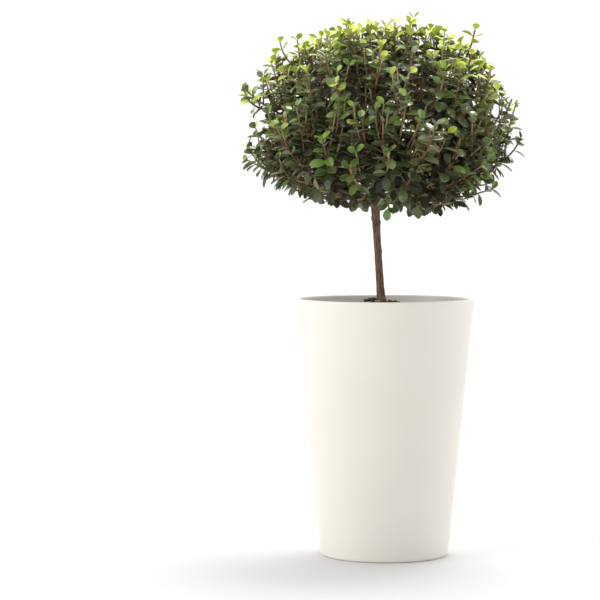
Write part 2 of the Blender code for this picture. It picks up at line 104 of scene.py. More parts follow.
class Pattern:
    """Adds procedural nodes that read a piece's Object coordinates to one material."""

    def __init__(self, material: bpy.types.Material, stretch: Triple = (1.0, 1.0, 1.0)) -> None:
        """Starts with coordinates, stretched along each axis.

        Args:
            material: The material that takes the nodes.
            stretch: The scale of the pattern along X, Y and Z.
        """
        self.tree = material.node_tree
        place = self.tree.nodes.new("ShaderNodeTexCoord")
        mapping = self.tree.nodes.new("ShaderNodeMapping")
        mapping.inputs["Scale"].default_value = stretch
        self.tree.links.new(place.outputs["Object"], mapping.inputs["Vector"])
        self.place = mapping.outputs["Vector"]

    def clouds(self, scale: float, detail: float, roughness: float = 0.5) -> bpy.types.NodeSocket:
        """Noise with a number of lumps to the metre.

        Args:
            scale: Lumps to the metre.
            detail: How many finer octaves it has.
            roughness: How strong the finer octaves are.

        Returns:
            The noise value's socket.
        """
        node = self.tree.nodes.new("ShaderNodeTexNoise")
        node.inputs["Scale"].default_value = scale
        node.inputs["Detail"].default_value = detail
        node.inputs["Roughness"].default_value = roughness
        self.tree.links.new(self.place, node.inputs["Vector"])
        return node.outputs["Fac"]

    def cells(self, scale: float) -> bpy.types.NodeSocket:
        """The distance to the middle of rounded cells.

        Args:
            scale: Cells to the metre.

        Returns:
            The distance's socket.
        """
        node = self.tree.nodes.new("ShaderNodeTexVoronoi")
        node.inputs["Scale"].default_value = scale
        self.tree.links.new(self.place, node.inputs["Vector"])
        return node.outputs["Distance"]

    def ramp(
        self, value: bpy.types.NodeSocket, stops: Sequence[tuple[float, Colour]]
    ) -> bpy.types.NodeSocket:
        """Colours for a value.

        Args:
            value: The socket that is read.
            stops: Each value and its colour, in rising order.

        Returns:
            The colour's socket.
        """
        node = self.tree.nodes.new("ShaderNodeValToRGB")
        elements = node.color_ramp.elements
        while len(elements) < len(stops):
            elements.new(0.5)
        for element, (position, colour) in zip(elements, stops):
            element.position = position
            element.color = (*colour, 1.0)
        self.tree.links.new(value, node.inputs["Fac"])
        return node.outputs["Color"]

    def between(self, value: bpy.types.NodeSocket, low: float, high: float) -> bpy.types.NodeSocket:
        """A value from 0 to 1, moved to a range.

        Args:
            value: The socket that is read.
            low: What 0 becomes.
            high: What 1 becomes.

        Returns:
            The moved value's socket.
        """
        node = self.tree.nodes.new("ShaderNodeMapRange")
        node.inputs["To Min"].default_value = low
        node.inputs["To Max"].default_value = high
        self.tree.links.new(value, node.inputs["Value"])
        return node.outputs["Result"]

    def relief(self, shader: bpy.types.ShaderNode, height: bpy.types.NodeSocket, depth: float) -> None:
        """Bumps a shader's surface.

        Args:
            shader: The shader that takes the bump.
            height: The height's socket, from 0 to 1.
            depth: How high 1 is, in metres.
        """
        node = self.tree.nodes.new("ShaderNodeBump")
        node.inputs["Distance"].default_value = depth
        node.inputs["Strength"].default_value = 1.0
        self.tree.links.new(height, node.inputs["Height"])
        self.tree.links.new(node.outputs["Normal"], shader.inputs["Normal"])


@dataclass(frozen=True)
class PlainFinish:
    """One plain colour, for leaves and green twigs that are dealt their colour by the spray."""

    name: str
    colour: Colour
    roughness: float
    gloss: float = 0.5
    glint: Colour = (1.0, 0.98, 0.92)

    def material(self) -> bpy.types.Material:
        """The finish as a material, made once.

        Returns:
            The material, which all pieces with this finish share.
        """
        if self.name in bpy.data.materials:
            return bpy.data.materials[self.name]
        material, shader = new_material(self.name, self.roughness)
        shader.inputs["Base Color"].default_value = (*self.colour, 1.0)
        shader.inputs["Specular IOR Level"].default_value = self.gloss
        shader.inputs["Specular Tint"].default_value = (*self.glint, 1.0)
        return material


@dataclass(frozen=True)
class GlazeFinish:
    """A satin glaze that is a little uneven in shade and gloss."""

    name: str = "glazed white"
    shades: tuple[Colour, Colour] = ((0.800, 0.765, 0.685), (0.835, 0.805, 0.735))
    roughness: tuple[float, float] = (0.34, 0.44)
    drift_scale: float = 9.0
    drift_span: tuple[float, float] = (0.35, 0.65)
    gloss_scale: float = 60.0
    grain_scale: float = 420.0
    grain_depth: float = 0.00003

    def material(self) -> bpy.types.Material:
        """The glaze as a material.

        Returns:
            The material.
        """
        material, shader = new_material(self.name, self.roughness[0])
        pattern = Pattern(material)
        drift = pattern.clouds(self.drift_scale, 2.0)
        tint = pattern.ramp(drift, tuple(zip(self.drift_span, self.shades)))
        pattern.tree.links.new(tint, shader.inputs["Base Color"])
        gloss = pattern.between(pattern.clouds(self.gloss_scale, 3.0), *self.roughness)
        pattern.tree.links.new(gloss, shader.inputs["Roughness"])
        pattern.relief(shader, pattern.clouds(self.grain_scale, 2.0), self.grain_depth)
        return material


@dataclass(frozen=True)
class BarkFinish:
    """Brown bark: long grey-brown plates over darker, redder furrows."""

    name: str = "bark"
    furrow: Colour = (0.060, 0.030, 0.018)
    plate: Colour = (0.165, 0.088, 0.056)
    worn: Colour = (0.270, 0.160, 0.108)
    roughness: float = 0.78
    stretch: Triple = (1.0, 1.0, 0.22)
    streak_scale: float = 620.0
    streak_spans: Triple = (0.34, 0.50, 0.68)
    grain_scale: float = 900.0
    grain_depth: float = 0.0006

    def material(self) -> bpy.types.Material:
        """The bark as a material, with its pattern drawn out along the stem.

        Returns:
            The material.
        """
        material, shader = new_material(self.name, self.roughness)
        pattern = Pattern(material, self.stretch)
        streaks = pattern.clouds(self.streak_scale, 5.0, 0.62)
        stops = tuple(zip(self.streak_spans, (self.furrow, self.plate, self.worn)))
        pattern.tree.links.new(pattern.ramp(streaks, stops), shader.inputs["Base Color"])
        pattern.relief(shader, pattern.clouds(self.grain_scale, 4.0, 0.6), self.grain_depth)
        return material


@dataclass(frozen=True)
class SoilFinish:
    """Dark crumbly potting mix, or with other shades the chips of bark that lie on it."""

    name: str
    damp: Colour
    dry: Colour
    roughness: float = 0.95
    shade_scale: float = 340.0
    shade_span: tuple[float, float] = (0.36, 0.66)
    grain_scale: float = 700.0
    grain_depth: float = 0.0012

    def material(self) -> bpy.types.Material:
        """The mix as a material.

        Returns:
            The material.
        """
        material, shader = new_material(self.name, self.roughness)
        pattern = Pattern(material)
        clouds = pattern.clouds(self.shade_scale, 4.0, 0.65)
        shade = pattern.ramp(clouds, tuple(zip(self.shade_span, (self.damp, self.dry))))
        pattern.tree.links.new(shade, shader.inputs["Base Color"])
        pattern.relief(shader, pattern.cells(self.grain_scale), self.grain_depth)
        return material


class LeafTint(Enum):
    """The tints of the leaves' upper faces, from deep inside the head to the tips in full light: painted
    shade and light, with the lime tints both young growth and painted backlit glow.
    """

    DEEP = PlainFinish("leaf deep", (0.046, 0.049, 0.028), 0.50, 0.25)
    SHADED = PlainFinish("leaf shaded", (0.068, 0.084, 0.033), 0.22, 0.40)
    MATURE = PlainFinish("leaf mature", (0.110, 0.148, 0.046), 0.14, 0.70)
    GREEN = PlainFinish("leaf green", (0.152, 0.252, 0.046), 0.15, 0.70)
    FRESH = PlainFinish("leaf fresh", (0.295, 0.405, 0.056), 0.20, 0.55)
    YOUNG = PlainFinish("leaf young", (0.470, 0.570, 0.062), 0.28, 0.45)
    LIME = PlainFinish("leaf lime", (0.740, 0.810, 0.135), 0.30, 0.50)
    OLIVE = PlainFinish("leaf olive", (0.165, 0.174, 0.084), 0.12, 0.90)


class UnderTint(Enum):
    """The tints of the leaves' undersides, which are paler and duller; the shaded one is painted shade."""

    SHADED = PlainFinish("leaf underside shaded", (0.094, 0.092, 0.048), 0.50, 0.3)
    PALE = PlainFinish("leaf underside", (0.190, 0.214, 0.104), 0.40, 0.4)
    LIME = PlainFinish("leaf underside lime", (0.540, 0.620, 0.110), 0.46)


class RimTint(Enum):
    """The tints of the leaves' rims: a pale margin with painted highlight, a dark one as painted shade, and
    a lime one with painted highlight at young tips.
    """

    DARK = PlainFinish("leaf rim dark", (0.100, 0.108, 0.056), 0.50, 0.3)
    DULL = PlainFinish("leaf rim", (0.255, 0.245, 0.150), 0.35)
    BRIGHT = PlainFinish("leaf rim lime", (0.520, 0.570, 0.150), 0.45)


class TwigTint(Enum):
    """The tints along a shoot, from old wood to the soft tip."""

    OLD = PlainFinish("twig brown", (0.125, 0.074, 0.042), 0.70, 0.3)
    RED = PlainFinish("twig red", (0.205, 0.092, 0.042), 0.60, 0.4)
    TAN = PlainFinish("twig tan", (0.350, 0.230, 0.105), 0.50, 0.4)
    GREEN = PlainFinish("twig green", (0.390, 0.335, 0.130), 0.45)


FIRST_LIME_TINT = list(LeafTint).index(LeafTint.YOUNG)
OLIVE_TINT = list(LeafTint).index(LeafTint.OLIVE)


# ------------------------------------------------------------------ meshes


def finished_piece(
    name: str, mesh: bpy.types.Mesh, replaced: Sequence[str], smooth: float | None
) -> bpy.types.Object:
    """Puts a mesh into the scene as a piece that rides on the plant and stands for its solids.

    Args:
        name: The piece's name.
        mesh: Its mesh, already in place.
        replaced: The solids that it stands for.
        smooth: The angle in degrees up to which faces shade smoothly, or None for flat faces.

    Returns:
        The piece.
    """
    mesh.name = name
    if smooth is not None:
        mesh.shade_smooth()
        mesh.set_sharp_from_angle(angle=math.radians(smooth))
    piece = bpy.data.objects.new(name, mesh)
    bpy.context.scene.collection.objects.link(piece)
    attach(piece, "root")
    if replaced:
        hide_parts(*replaced)
    LOG.info("%s: %d faces", name, len(mesh.polygons))
    return piece


def mesh_of(shape: bmesh.types.BMesh, materials: Sequence[bpy.types.Material]) -> bpy.types.Mesh:
    """Turns a bmesh into a mesh with its materials, and frees it.

    Args:
        shape: The bmesh.
        materials: The materials of its slots.

    Returns:
        The mesh.
    """
    bmesh.ops.recalc_face_normals(shape, faces=shape.faces)
    mesh = bpy.data.meshes.new("shape")
    shape.to_mesh(mesh)
    shape.free()
    for material in materials:
        mesh.materials.append(material)
    return mesh


def turned(profile: Sequence[tuple[float, float]], steps: int) -> bmesh.types.BMesh:
    """A shape turned about Z.

    Args:
        profile: Its (radius, height) points.
        steps: How many steps the full turn has.

    Returns:
        The turned bmesh.
    """
    shape = bmesh.new()
    points = [shape.verts.new((radius, 0.0, height)) for radius, height in profile]
    edges = [shape.edges.new(pair) for pair in zip(points, points[1:])]
    bmesh.ops.spin(
        shape,
        geom=points + edges,
        cent=(0.0, 0.0, 0.0),
        axis=(0.0, 0.0, 1.0),
        angle=2 * math.pi,
        steps=steps,
        use_merge=True,
    )
    bmesh.ops.remove_doubles(shape, verts=shape.verts, dist=1e-6)
    bmesh.ops.recalc_face_normals(shape, faces=shape.faces)
    return shape


@dataclass(frozen=True)
class Limb:
    """A quadratic curve with a first and a last radius: a bough, a stem, or a shoot."""

    start: Vector
    bend: Vector
    end: Vector
    radii: tuple[float, float] = (0.001, 0.0007)

    def point(self, share: float) -> Vector:
        """The point at a share of the way along."""
        return (1 - share) ** 2 * self.start + 2 * share * (1 - share) * self.bend + share**2 * self.end

    def heading(self, share: float) -> Vector:
        """The way that it heads at a share of its course."""
        return ((1 - share) * (self.bend - self.start) + share * (self.end - self.bend)).normalized()

    def radius(self, share: float) -> float:
        """The radius at a share of the way along."""
        return self.radii[0] + (self.radii[1] - self.radii[0]) * share

    def length(self) -> float:
        """The length along the curve, by six chords."""
        points = [self.point(i / 6) for i in range(7)]
        return sum((after - before).length for before, after in zip(points, points[1:]))


def path_turns(headings: Sequence[Vector]) -> list[Matrix]:
    """A turn for each point of a path, with its Z along the path and no twist on the way.

    Args:
        headings: The path's heading at each point.

    Returns:
        The turns, as 3 by 3 matrices.
    """
    turn = headings[0].to_track_quat("Z", "Y")
    turns = [turn.to_matrix()]
    for before, after in zip(headings, headings[1:]):
        turn = before.rotation_difference(after) @ turn
        turns.append(turn.to_matrix())
    return turns


class TubeBatch:
    """Many thin tubes, gathered as arrays and made into one mesh."""

    def __init__(self) -> None:
        """Starts with no tubes."""
        self.points: list[Vector] = []
        self.faces: list[tuple[int, ...]] = []
        self.tints: list[int] = []

    def add(self, limb: Limb, steps: int, sides: int, tints: Sequence[int]) -> None:
        """Adds one limb, closed at both ends.

        Args:
            limb: Its course and radii.
            steps: How many rings of faces it has.
            sides: How many sides it has.
            tints: The material of each ring of faces, the last also for those that follow.
        """
        first = len(self.points)
        turns = path_turns([limb.heading(i / steps) for i in range(steps + 1)])
        for i, turn in enumerate(turns):
            centre, radius = limb.point(i / steps), limb.radius(i / steps)
            for k in range(sides):
                angle = 2 * math.pi * k / sides
                self.points.append(centre + turn @ Vector((math.cos(angle), math.sin(angle), 0.0)) * radius)
        for i in range(steps):
            low, high = first + i * sides, first + (i + 1) * sides
            for k in range(sides):
                after = (k + 1) % sides
                self.faces.append((low + k, low + after, high + after, high + k))
                self.tints.append(tints[min(i, len(tints) - 1)])
        self.faces.append(tuple(first + k for k in reversed(range(sides))))
        self.faces.append(tuple(first + steps * sides + k for k in range(sides)))
        self.tints.extend((tints[0], tints[-1]))

    def mesh(self, tints: type[Enum]) -> bpy.types.Mesh:
        """The tubes as one mesh.

        Args:
            tints: The finishes that the tubes' material numbers stand for.

        Returns:
            The mesh.
        """
        mesh = bpy.data.meshes.new("tubes")
        mesh.from_pydata([tuple(point) for point in self.points], [], self.faces)
        mesh.polygons.foreach_set("material_index", self.tints)
        for tint in tints:
            mesh.materials.append(tint.value.material())
        return mesh


@dataclass(frozen=True)
class LeafShape:
    """One oval leaf that is broadest past its middle: its outline, its fold and its curl."""

    fold: float
    curl: float
    cup: float
    stations: tuple[tuple[float, float], ...] = (
        (0.00, 0.032),
        (0.12, 0.045),
        (0.28, 0.195),
        (0.52, 0.300),
        (0.76, 0.275),
        (0.93, 0.150),
        (1.00, 0.035),
    )
    thickness: float = 0.026

    def corners(self) -> np.ndarray:
        """The corners for a leaf of length 1, as across, along and above.

        Returns:
            At each station the left edge, the rib and the right edge, above and then below.
        """
        corners: list[Triple] = []
        for along, half in self.stations:
            droop = -self.curl * along**2
            rim = droop + self.fold * half - self.cup * half**2
            upper = ((-half, along, rim), (0.0, along, droop), (half, along, rim))
            corners.extend(upper)
            corners.extend((across, up, above - self.thickness) for across, up, above in upper)
        return np.array(corners)

    def faces(self) -> tuple[list[tuple[int, ...]], list[int]]:
        """The faces for a leaf's corners.

        Returns:
            The faces, and for each its side: 0 above, 1 below and 2 on the rim.
        """
        ring = 6
        faces: list[tuple[int, ...]] = []
        sides: list[int] = []
        for i in range(len(self.stations) - 1):
            left, rib, right, low_left, low_rib, low_right = (ring * i + k for k in range(ring))
            faces.append((left, rib, rib + ring, left + ring))
            faces.append((rib, right, right + ring, rib + ring))
            faces.append((low_rib, low_left, low_left + ring, low_rib + ring))
            faces.append((low_right, low_rib, low_rib + ring, low_right + ring))
            faces.append((low_left, left, left + ring, low_left + ring))
            faces.append((right, low_right, low_right + ring, right + ring))
            sides.extend((0, 0, 1, 1, 2, 2))
        last = ring * (len(self.stations) - 1)
        faces.append((0, 3, 4, 5, 2, 1))
        faces.append(tuple(last + k for k in (0, 1, 2, 5, 4, 3)))
        sides.extend((2, 2))
        return faces, sides


@dataclass
class Leaf:
    """One leaf in place: its root, its own three ways, its size, its form, and the tints of its sides."""

    root: Vector
    across: Vector
    along: Vector
    above: Vector
    length: float
    breadth: float
    shape: int
    tints: tuple[int, int, int]


@dataclass
class LeafBatch:
    """Many leaves, gathered and made into one mesh from arrays."""

    shapes: tuple[LeafShape, ...] = (
        LeafShape(0.42, 0.08, 0.30),
        LeafShape(0.30, 0.20, 0.10),
        LeafShape(0.56, 0.02, 0.35),
        LeafShape(0.18, 0.28, 0.30),
        LeafShape(0.36, -0.06, 0.00),
    )
    leaves: list[Leaf] = field(default_factory=list)

    def mesh(self) -> bpy.types.Mesh:
        """The leaves as one mesh.

        Returns:
            The mesh, with the tints of upper faces, undersides and rims in that order.
        """
        places: list[np.ndarray] = []
        faces: list[tuple[int, ...]] = []
        tints: list[int] = []
        corners = [shape.corners() for shape in self.shapes]
        form, sides = self.shapes[0].faces()
        for number, leaf in enumerate(self.leaves):
            ways = np.array((leaf.across * leaf.breadth, leaf.along, leaf.above)) * leaf.length
            places.append(corners[leaf.shape] @ ways + np.array(leaf.root))
            first = number * len(corners[0])
            faces.extend(tuple(first + corner for corner in face) for face in form)
            tints.extend(leaf.tints[side] for side in sides)
        mesh = bpy.data.meshes.new("leaves")
        mesh.from_pydata(np.concatenate(places), [], faces)
        mesh.polygons.foreach_set("material_index", tints)
        for tint in (*LeafTint, *UnderTint, *RimTint):
            mesh.materials.append(tint.value.material())
        return mesh


# ------------------------------------------------------------------ the head's plan


@dataclass(frozen=True)
class Trunk:
    """The clear stem's course, and its radius at shares of the way up."""

    course: Limb = Limb(
        *points((-0.0030, 0.0, 0.2403), (-0.0078, 0.0010, 0.3050), (-0.0105, 0.0015, 0.3660))
    )
    radii: tuple[tuple[float, float], ...] = (
        (0.0, 0.0050),
        (0.03, 0.0042),
        (0.10, 0.0037),
        (0.45, 0.0034),
        (0.70, 0.0042),
        (0.82, 0.0038),
        (1.0, 0.0026),
    )

    def radius(self, share: float) -> float:
        """The radius at a share of the way up."""
        shares, radii = zip(*self.radii)
        return float(np.interp(share, shares, radii))

    def share_at(self, height: float) -> float:
        """The share of the way up at which the stem reaches a height, found by halving.

        Args:
            height: The height.

        Returns:
            The share, from 0 to 1.
        """
        low, high = 0.0, 1.0
        while high - low > 1e-6:
            middle = (low + high) / 2
            if self.course.point(middle).z < height:
                low = middle
            else:
                high = middle
        return low


@dataclass(frozen=True)
class Ring:
    """A ring of masses round the head's axis, and the boughs that carry them."""

    name: str
    count: int
    turn: float
    radius: float
    height: float
    wave: float
    foot: float
    foot_step: float
    reach: float
    tip_height: float
    tip_follow: float
    bend: tuple[float, float]
    radii: tuple[float, float]


@dataclass(frozen=True)
class HeadPlan:
    """The head's outline, its masses' hearts and boughs, and where its shoots end."""

    box: Sequence[Sequence[float]]
    trunk: Trunk = Trunk()
    centre: Vector = Vector((-0.0010, 0.0, 0.397))
    radius: float = 0.128
    rise: float = 0.107
    drop: float = 0.075
    underside: float = 0.3150
    underside_left: tuple[float, float] = (0.28, 0.0)
    underside_right: tuple[float, float] = (0.0, 1.0)
    twig_room: float = 0.011
    top_power: float = 2.9
    under_power: float = 2.7
    low: Ring = Ring(
        name="low", count=7, turn=12.9, radius=0.078, height=0.366, wave=0.018, foot=0.3325,
        foot_step=0.0020, reach=0.036, tip_height=0.3400, tip_follow=0.4, bend=(0.0, -0.001),
        radii=(0.0016, 0.0012),
    )
    high: Ring = Ring(
        name="high", count=5, turn=22.0, radius=0.056, height=0.438, wave=0.016, foot=0.3490,
        foot_step=0.0022, reach=0.020, tip_height=0.3990, tip_follow=0.0, bend=(0.004, -0.003),
        radii=(0.0018, 0.0013),
    )
    top_heart: Vector = Vector((-0.001, 0.0, 0.462))
    top_bough_tip: Vector = Vector((-0.004, 0.0005, 0.4030))
    top_bough_bend: Vector = Vector((-0.002, 0.0, 0.0))
    top_bough_radii: tuple[float, float] = (0.0022, 0.0014)
    bough_order: int = 3
    shoot_count: int = 96
    shoot_span: tuple[float, float] = (-0.92, 0.995)
    inset: tuple[float, float] = (0.870, 0.055)
    long_tips: tuple[Vector, ...] = points(
        (-0.1270, -0.022, 0.432),
        (-0.1240, 0.012, 0.380),
        (0.1200, 0.018, 0.427),
        (0.1240, -0.024, 0.388),
        (0.0270, 0.004, 0.502),
        (0.0830, -0.012, 0.490),
        (-0.0300, 0.122, 0.412),
        (0.0400, -0.120, 0.398),
    )
    proud_tips: tuple[Vector, ...] = points(
        (-0.0985, -0.020, 0.4820),
        (-0.0825, 0.012, 0.4860),
        (-0.0630, 0.032, 0.4890),
        (-0.0440, -0.045, 0.4900),
        (-0.0145, -0.020, 0.4970),
        (0.0080, -0.034, 0.4990),
        (0.0430, 0.020, 0.4950),
        (0.0530, -0.050, 0.4890),
        (0.0750, 0.030, 0.4780),
        (0.0940, 0.004, 0.4630),
        (0.1024, -0.020, 0.4500),
        (-0.1137, 0.008, 0.4530),
        (-0.1320, -0.022, 0.4370),
        (-0.1290, 0.014, 0.3860),
        (0.1235, -0.014, 0.4285),
    )
    low_tips: tuple[Vector, ...] = points(
        (-0.1280, -0.014, 0.3720),
        (-0.0770, -0.020, 0.3330),
        (0.0980, -0.034, 0.3450),
        (0.0600, -0.060, 0.3330),
        (-0.0200, 0.085, 0.3330),
        (0.0550, 0.075, 0.3360),
        (-0.0850, 0.055, 0.3440),
    )
    hollows: tuple[tuple[Vector, Vector], ...] = (
        points((0.1400, 0.0, 0.4660), (0.0420, 0.20, 0.0340)),
        points((0.1070, 0.0, 0.4140), (0.0075, 0.10, 0.0125)),
    )
    margin: float = 0.0012
    level_height: float = 0.03
    upright_span: float = 0.24
    lift: Triple = (0.15, 1.1, 0.9)
    upright_closing: float = 0.35
    seed: int = 7

    def in_hollow(self, point: Vector) -> bool:
        """Whether a point lies in one of the hollows, which stay free of leaves and side shoots.

        Args:
            point: The point.

        Returns:
            True inside an ellipsoid of the hollows.
        """
        return any(
            sum(((point[i] - middle[i]) / radii[i]) ** 2 for i in range(3)) < 1.0
            for middle, radii in self.hollows
        )

    def lowest(self, point: Vector) -> float:
        """The height of the head's underside at a point, which rises towards the sides."""
        slope, bow = self.underside_left if point.x < 0 else self.underside_right
        return self.underside + slope * abs(point.x) + bow * point.x**2

    def raised(self, point: Vector) -> Vector:
        """The point, or one above it where it is too near to the head's underside."""
        return Vector((point.x, point.y, max(point.z, self.lowest(point) + self.twig_room)))

    def reaches(self, point: Vector) -> bool:
        """Whether a leaf may reach a point.

        Args:
            point: The point.

        Returns:
            True above the head's underside, inside the solids' box and outside the hollows.
        """
        room = self.margin
        inside = all(
            low + room < value < high - room for low, value, high in zip(self.box[0], point, self.box[1])
        )
        return inside and point.z > self.lowest(point) and not self.in_hollow(point)

    def share(self, point: Vector) -> float:
        """How far out a point lies.

        Args:
            point: The point.

        Returns:
            0 at the head's centre and 1 on its outline.
        """
        offset = point - self.centre
        above = offset.z > 0
        flat = math.hypot(offset.x, offset.y) / self.radius
        tall = abs(offset.z) / (self.rise if above else self.drop)
        power = self.top_power if above else self.under_power
        return (flat**power + tall**power) ** (1 / power)

    def height(self, point: Vector) -> float:
        """How high up a point lies: 0 at the head's underside and 1 at its top."""
        return (point.z - (self.centre.z - self.drop)) / (self.rise + self.drop)

    def outward(self, point: Vector) -> Vector:
        """The way from the head's centre to a point."""
        return (point - self.centre).normalized()

    def ring_masses(self, ring: Ring) -> Iterator[tuple[str, Vector, Limb]]:
        """The masses of a ring.

        Args:
            ring: The ring.

        Yields:
            The name, the heart and the bough of each mass.
        """
        for i in range(ring.count):
            turn = math.radians(ring.turn) + 2 * math.pi * i / ring.count
            out = Vector((math.cos(turn), math.sin(turn), 0.0))
            heart = Vector((self.centre.x, self.centre.y, ring.height + ring.wave * math.cos(3 * turn)))
            heart += out * (ring.radius + 0.5 * ring.wave * math.sin(2 * turn))
            foot = ring.foot + ring.foot_step * ((i + 1) * self.bough_order % ring.count)
            start = self.trunk.course.point(self.trunk.share_at(foot))
            top = self.trunk.course.end
            end = Vector((top.x, top.y, ring.tip_height + ring.tip_follow * (heart.z - ring.height)))
            end += out * ring.reach
            bend = start.lerp(end, 0.5) + out * ring.bend[0] + UP * ring.bend[1]
            yield f"{ring.name}_{i + 1}", heart, Limb(start, bend, end, ring.radii)

    def masses(self) -> Iterator[tuple[str, Vector, Limb]]:
        """The masses of the low ring and the high ring, and the top one.

        Yields:
            The name, the heart and the bough of each mass.
        """
        yield from self.ring_masses(self.low)
        yield from self.ring_masses(self.high)
        start = self.trunk.course.end
        bend = start.lerp(self.top_bough_tip, 0.5) + self.top_bough_bend
        yield "top", self.top_heart, Limb(start, bend, self.top_bough_tip, self.top_bough_radii)

    def shoot_tips(self) -> list[Vector]:
        """Where the main shoots end: evenly over the outline, and the few long ones.

        Returns:
            The tips, with the long ones last.
        """
        chance = random.Random(self.seed)
        golden = math.pi * (3 - math.sqrt(5))
        tips = []
        lowest, highest = self.shoot_span
        for i in range(self.shoot_count):
            rise = lowest + (highest - lowest) * (i + 0.5) / self.shoot_count
            flat = math.sqrt(1 - rise * rise)
            direction = Vector((flat * math.cos(golden * i), flat * math.sin(golden * i), rise))
            inset = self.inset[0] + chance.uniform(-self.inset[1], self.inset[1])
            tips.append(self.centre + direction * inset / self.share(self.centre + direction))
        return tips + list(self.long_tips)

    def upright(self, point: Vector) -> float:
        """How upright the shoots grow at a point: 0 at the head's underside, and 1 above its middle."""
        return clamped((self.height(point) - self.level_height) / self.upright_span)

    def shoot_heading(self, tip: Vector) -> Vector:
        """The way a shoot points at its tip: outwards low down, and more upright above.

        Args:
            tip: The tip.

        Returns:
            The direction, of length 1.
        """
        rising = self.upright(tip)
        always, by_height, by_rising = self.lift
        lift = always + by_height * self.height(tip) + by_rising * rising
        return (self.outward(tip) * (1.0 - self.upright_closing * rising) + UP * lift).normalized()


class MassSpace:
    """The space of one mass: the points nearer to its heart than to any other."""

    step_in = 0.06

    def __init__(self, name: str, hearts: dict[str, Vector]) -> None:
        """Works out the walls between one heart and all others.

        Args:
            name: The mass's name.
            hearts: The heart of each mass by its name.
        """
        self.heart = hearts[name]
        self.walls: list[tuple[Vector, float]] = []
        for other, heart in hearts.items():
            if other != name:
                away = (heart - self.heart).normalized()
                self.walls.append((away, away.dot((heart + self.heart) / 2)))

    def holds(self, point: Vector, room: float = 0.0) -> bool:
        """Whether a point lies inside, with this much room to every wall."""
        return all(away.dot(point) <= wall - room for away, wall in self.walls)

    def drawn_in(self, point: Vector, room: float) -> Vector:
        """The point, moved towards the heart until it has room.

        Args:
            point: The point.
            room: How far from every wall it has to be.

        Returns:
            The point in its last place.
        """
        while not self.holds(point, room):
            point = point.lerp(self.heart, self.step_in)
        return point


# ------------------------------------------------------------------ foliage


@dataclass
class Shoot:
    """A leafy limb: where side shoots and leaves begin, how often it has branched, how fresh it is."""

    limb: Limb
    fork: float
    bare: float
    order: int
    fresh: float = 0.0


@dataclass(frozen=True)
class SideHabit:
    """How side shoots leave the shoot that bears them, and how far they grow.

    Pairs named out, up and overlap hold a value for level growth and what upright growth adds.
    """

    spacing: float = 0.0080
    last_share: float = 0.92
    scatter: tuple[float, float] = (0.2, 0.8)
    twist: float = 0.35
    leaving: Triple = (0.50, 0.75, 0.15)
    along: float = 0.10
    aside: float = 0.10
    out: tuple[float, float] = (0.75, 0.58)
    up: tuple[float, float] = (0.05, 1.35)
    stray: float = 0.20
    length: tuple[float, float] = (0.034, 0.074)
    least: float = 0.009
    give_up: float = 0.6
    shorten: float = 0.88
    bend: float = 0.24
    onward: float = 0.80
    reach: Triple = (0.80, 0.945, 0.05)
    wall_overlap: float = 0.014
    radii: tuple[float, float] = (0.00115, 0.00070)
    thinner: float = 0.8
    top_thinning: float = 0.55
    fork: float = 0.20
    bare: float = 0.10
    fine_spacing: float = 0.022
    fine_scale: float = 0.50


@dataclass(frozen=True)
class LeafHabit:
    """How leaves sit on their shoots, and how their size varies over the head."""

    spacing: tuple[float, float] = (0.0062, 0.0078)
    length: tuple[float, float] = (0.0146, 0.0092)
    turn_scatter: float = 0.25
    spread: float = 74.0
    young_stretch: float = 0.010
    young_closing: float = 0.42
    spread_scatter: tuple[float, float] = (0.85, 1.15)
    bare_core: tuple[float, float] = (0.38, 0.30)
    skirt: float = 0.024
    skirt_thinning: float = 0.55
    droop: float = 0.14
    skirt_droop: float = 0.9
    face_along: tuple[float, float] = (0.10, 0.90)
    face_up: float = 0.20
    face_up_scatter: tuple[float, float] = (0.2, 0.8)
    face_aside: float = 0.5
    face_out: float = 0.26
    face_scatter: float = 0.20
    least_across: float = 0.15
    roll: float = 0.27
    young_size: tuple[float, float] = (0.25, 0.65)
    height_size: tuple[float, float] = (1.05, 0.19)
    size_scatter: tuple[float, float] = (0.82, 1.12)
    level_size: float = 0.10
    middle: float = 0.6
    gap: tuple[float, float] = (0.26, 0.26)
    breadth: tuple[float, float] = (0.80, 1.06)
    young_breadth: float = 0.36


@dataclass(frozen=True)
class PaintedLightHabit:
    """Painted shade and light: the tints that leaves are dealt by how light would fall through the head,
    darker deep inside and low down.
    """

    # Painted shade from depth and height; painted light at the sides and on the right; the young terms light
    # the tips high up.
    depth: tuple[float, float] = (0.55, 0.42)
    base: float = -0.04
    by_height: float = 0.84
    by_side: float = 0.24
    right_side_light: float = 0.04
    spray: tuple[float, float] = (-0.01, 0.13)
    bright_chance: float = 0.12
    bright: tuple[float, float] = (0.02, 0.26)
    leaf_scatter: float = 0.08
    olive_share: float = 0.13
    olive_light: float = 0.30
    young: float = 0.34
    young_base: float = 0.15
    tint_limits: tuple[float, ...] = (0.10, 0.22, 0.38, 0.67, 0.91, 1.06)
    pale_underside: float = 0.22
    dull_rim: float = 0.30


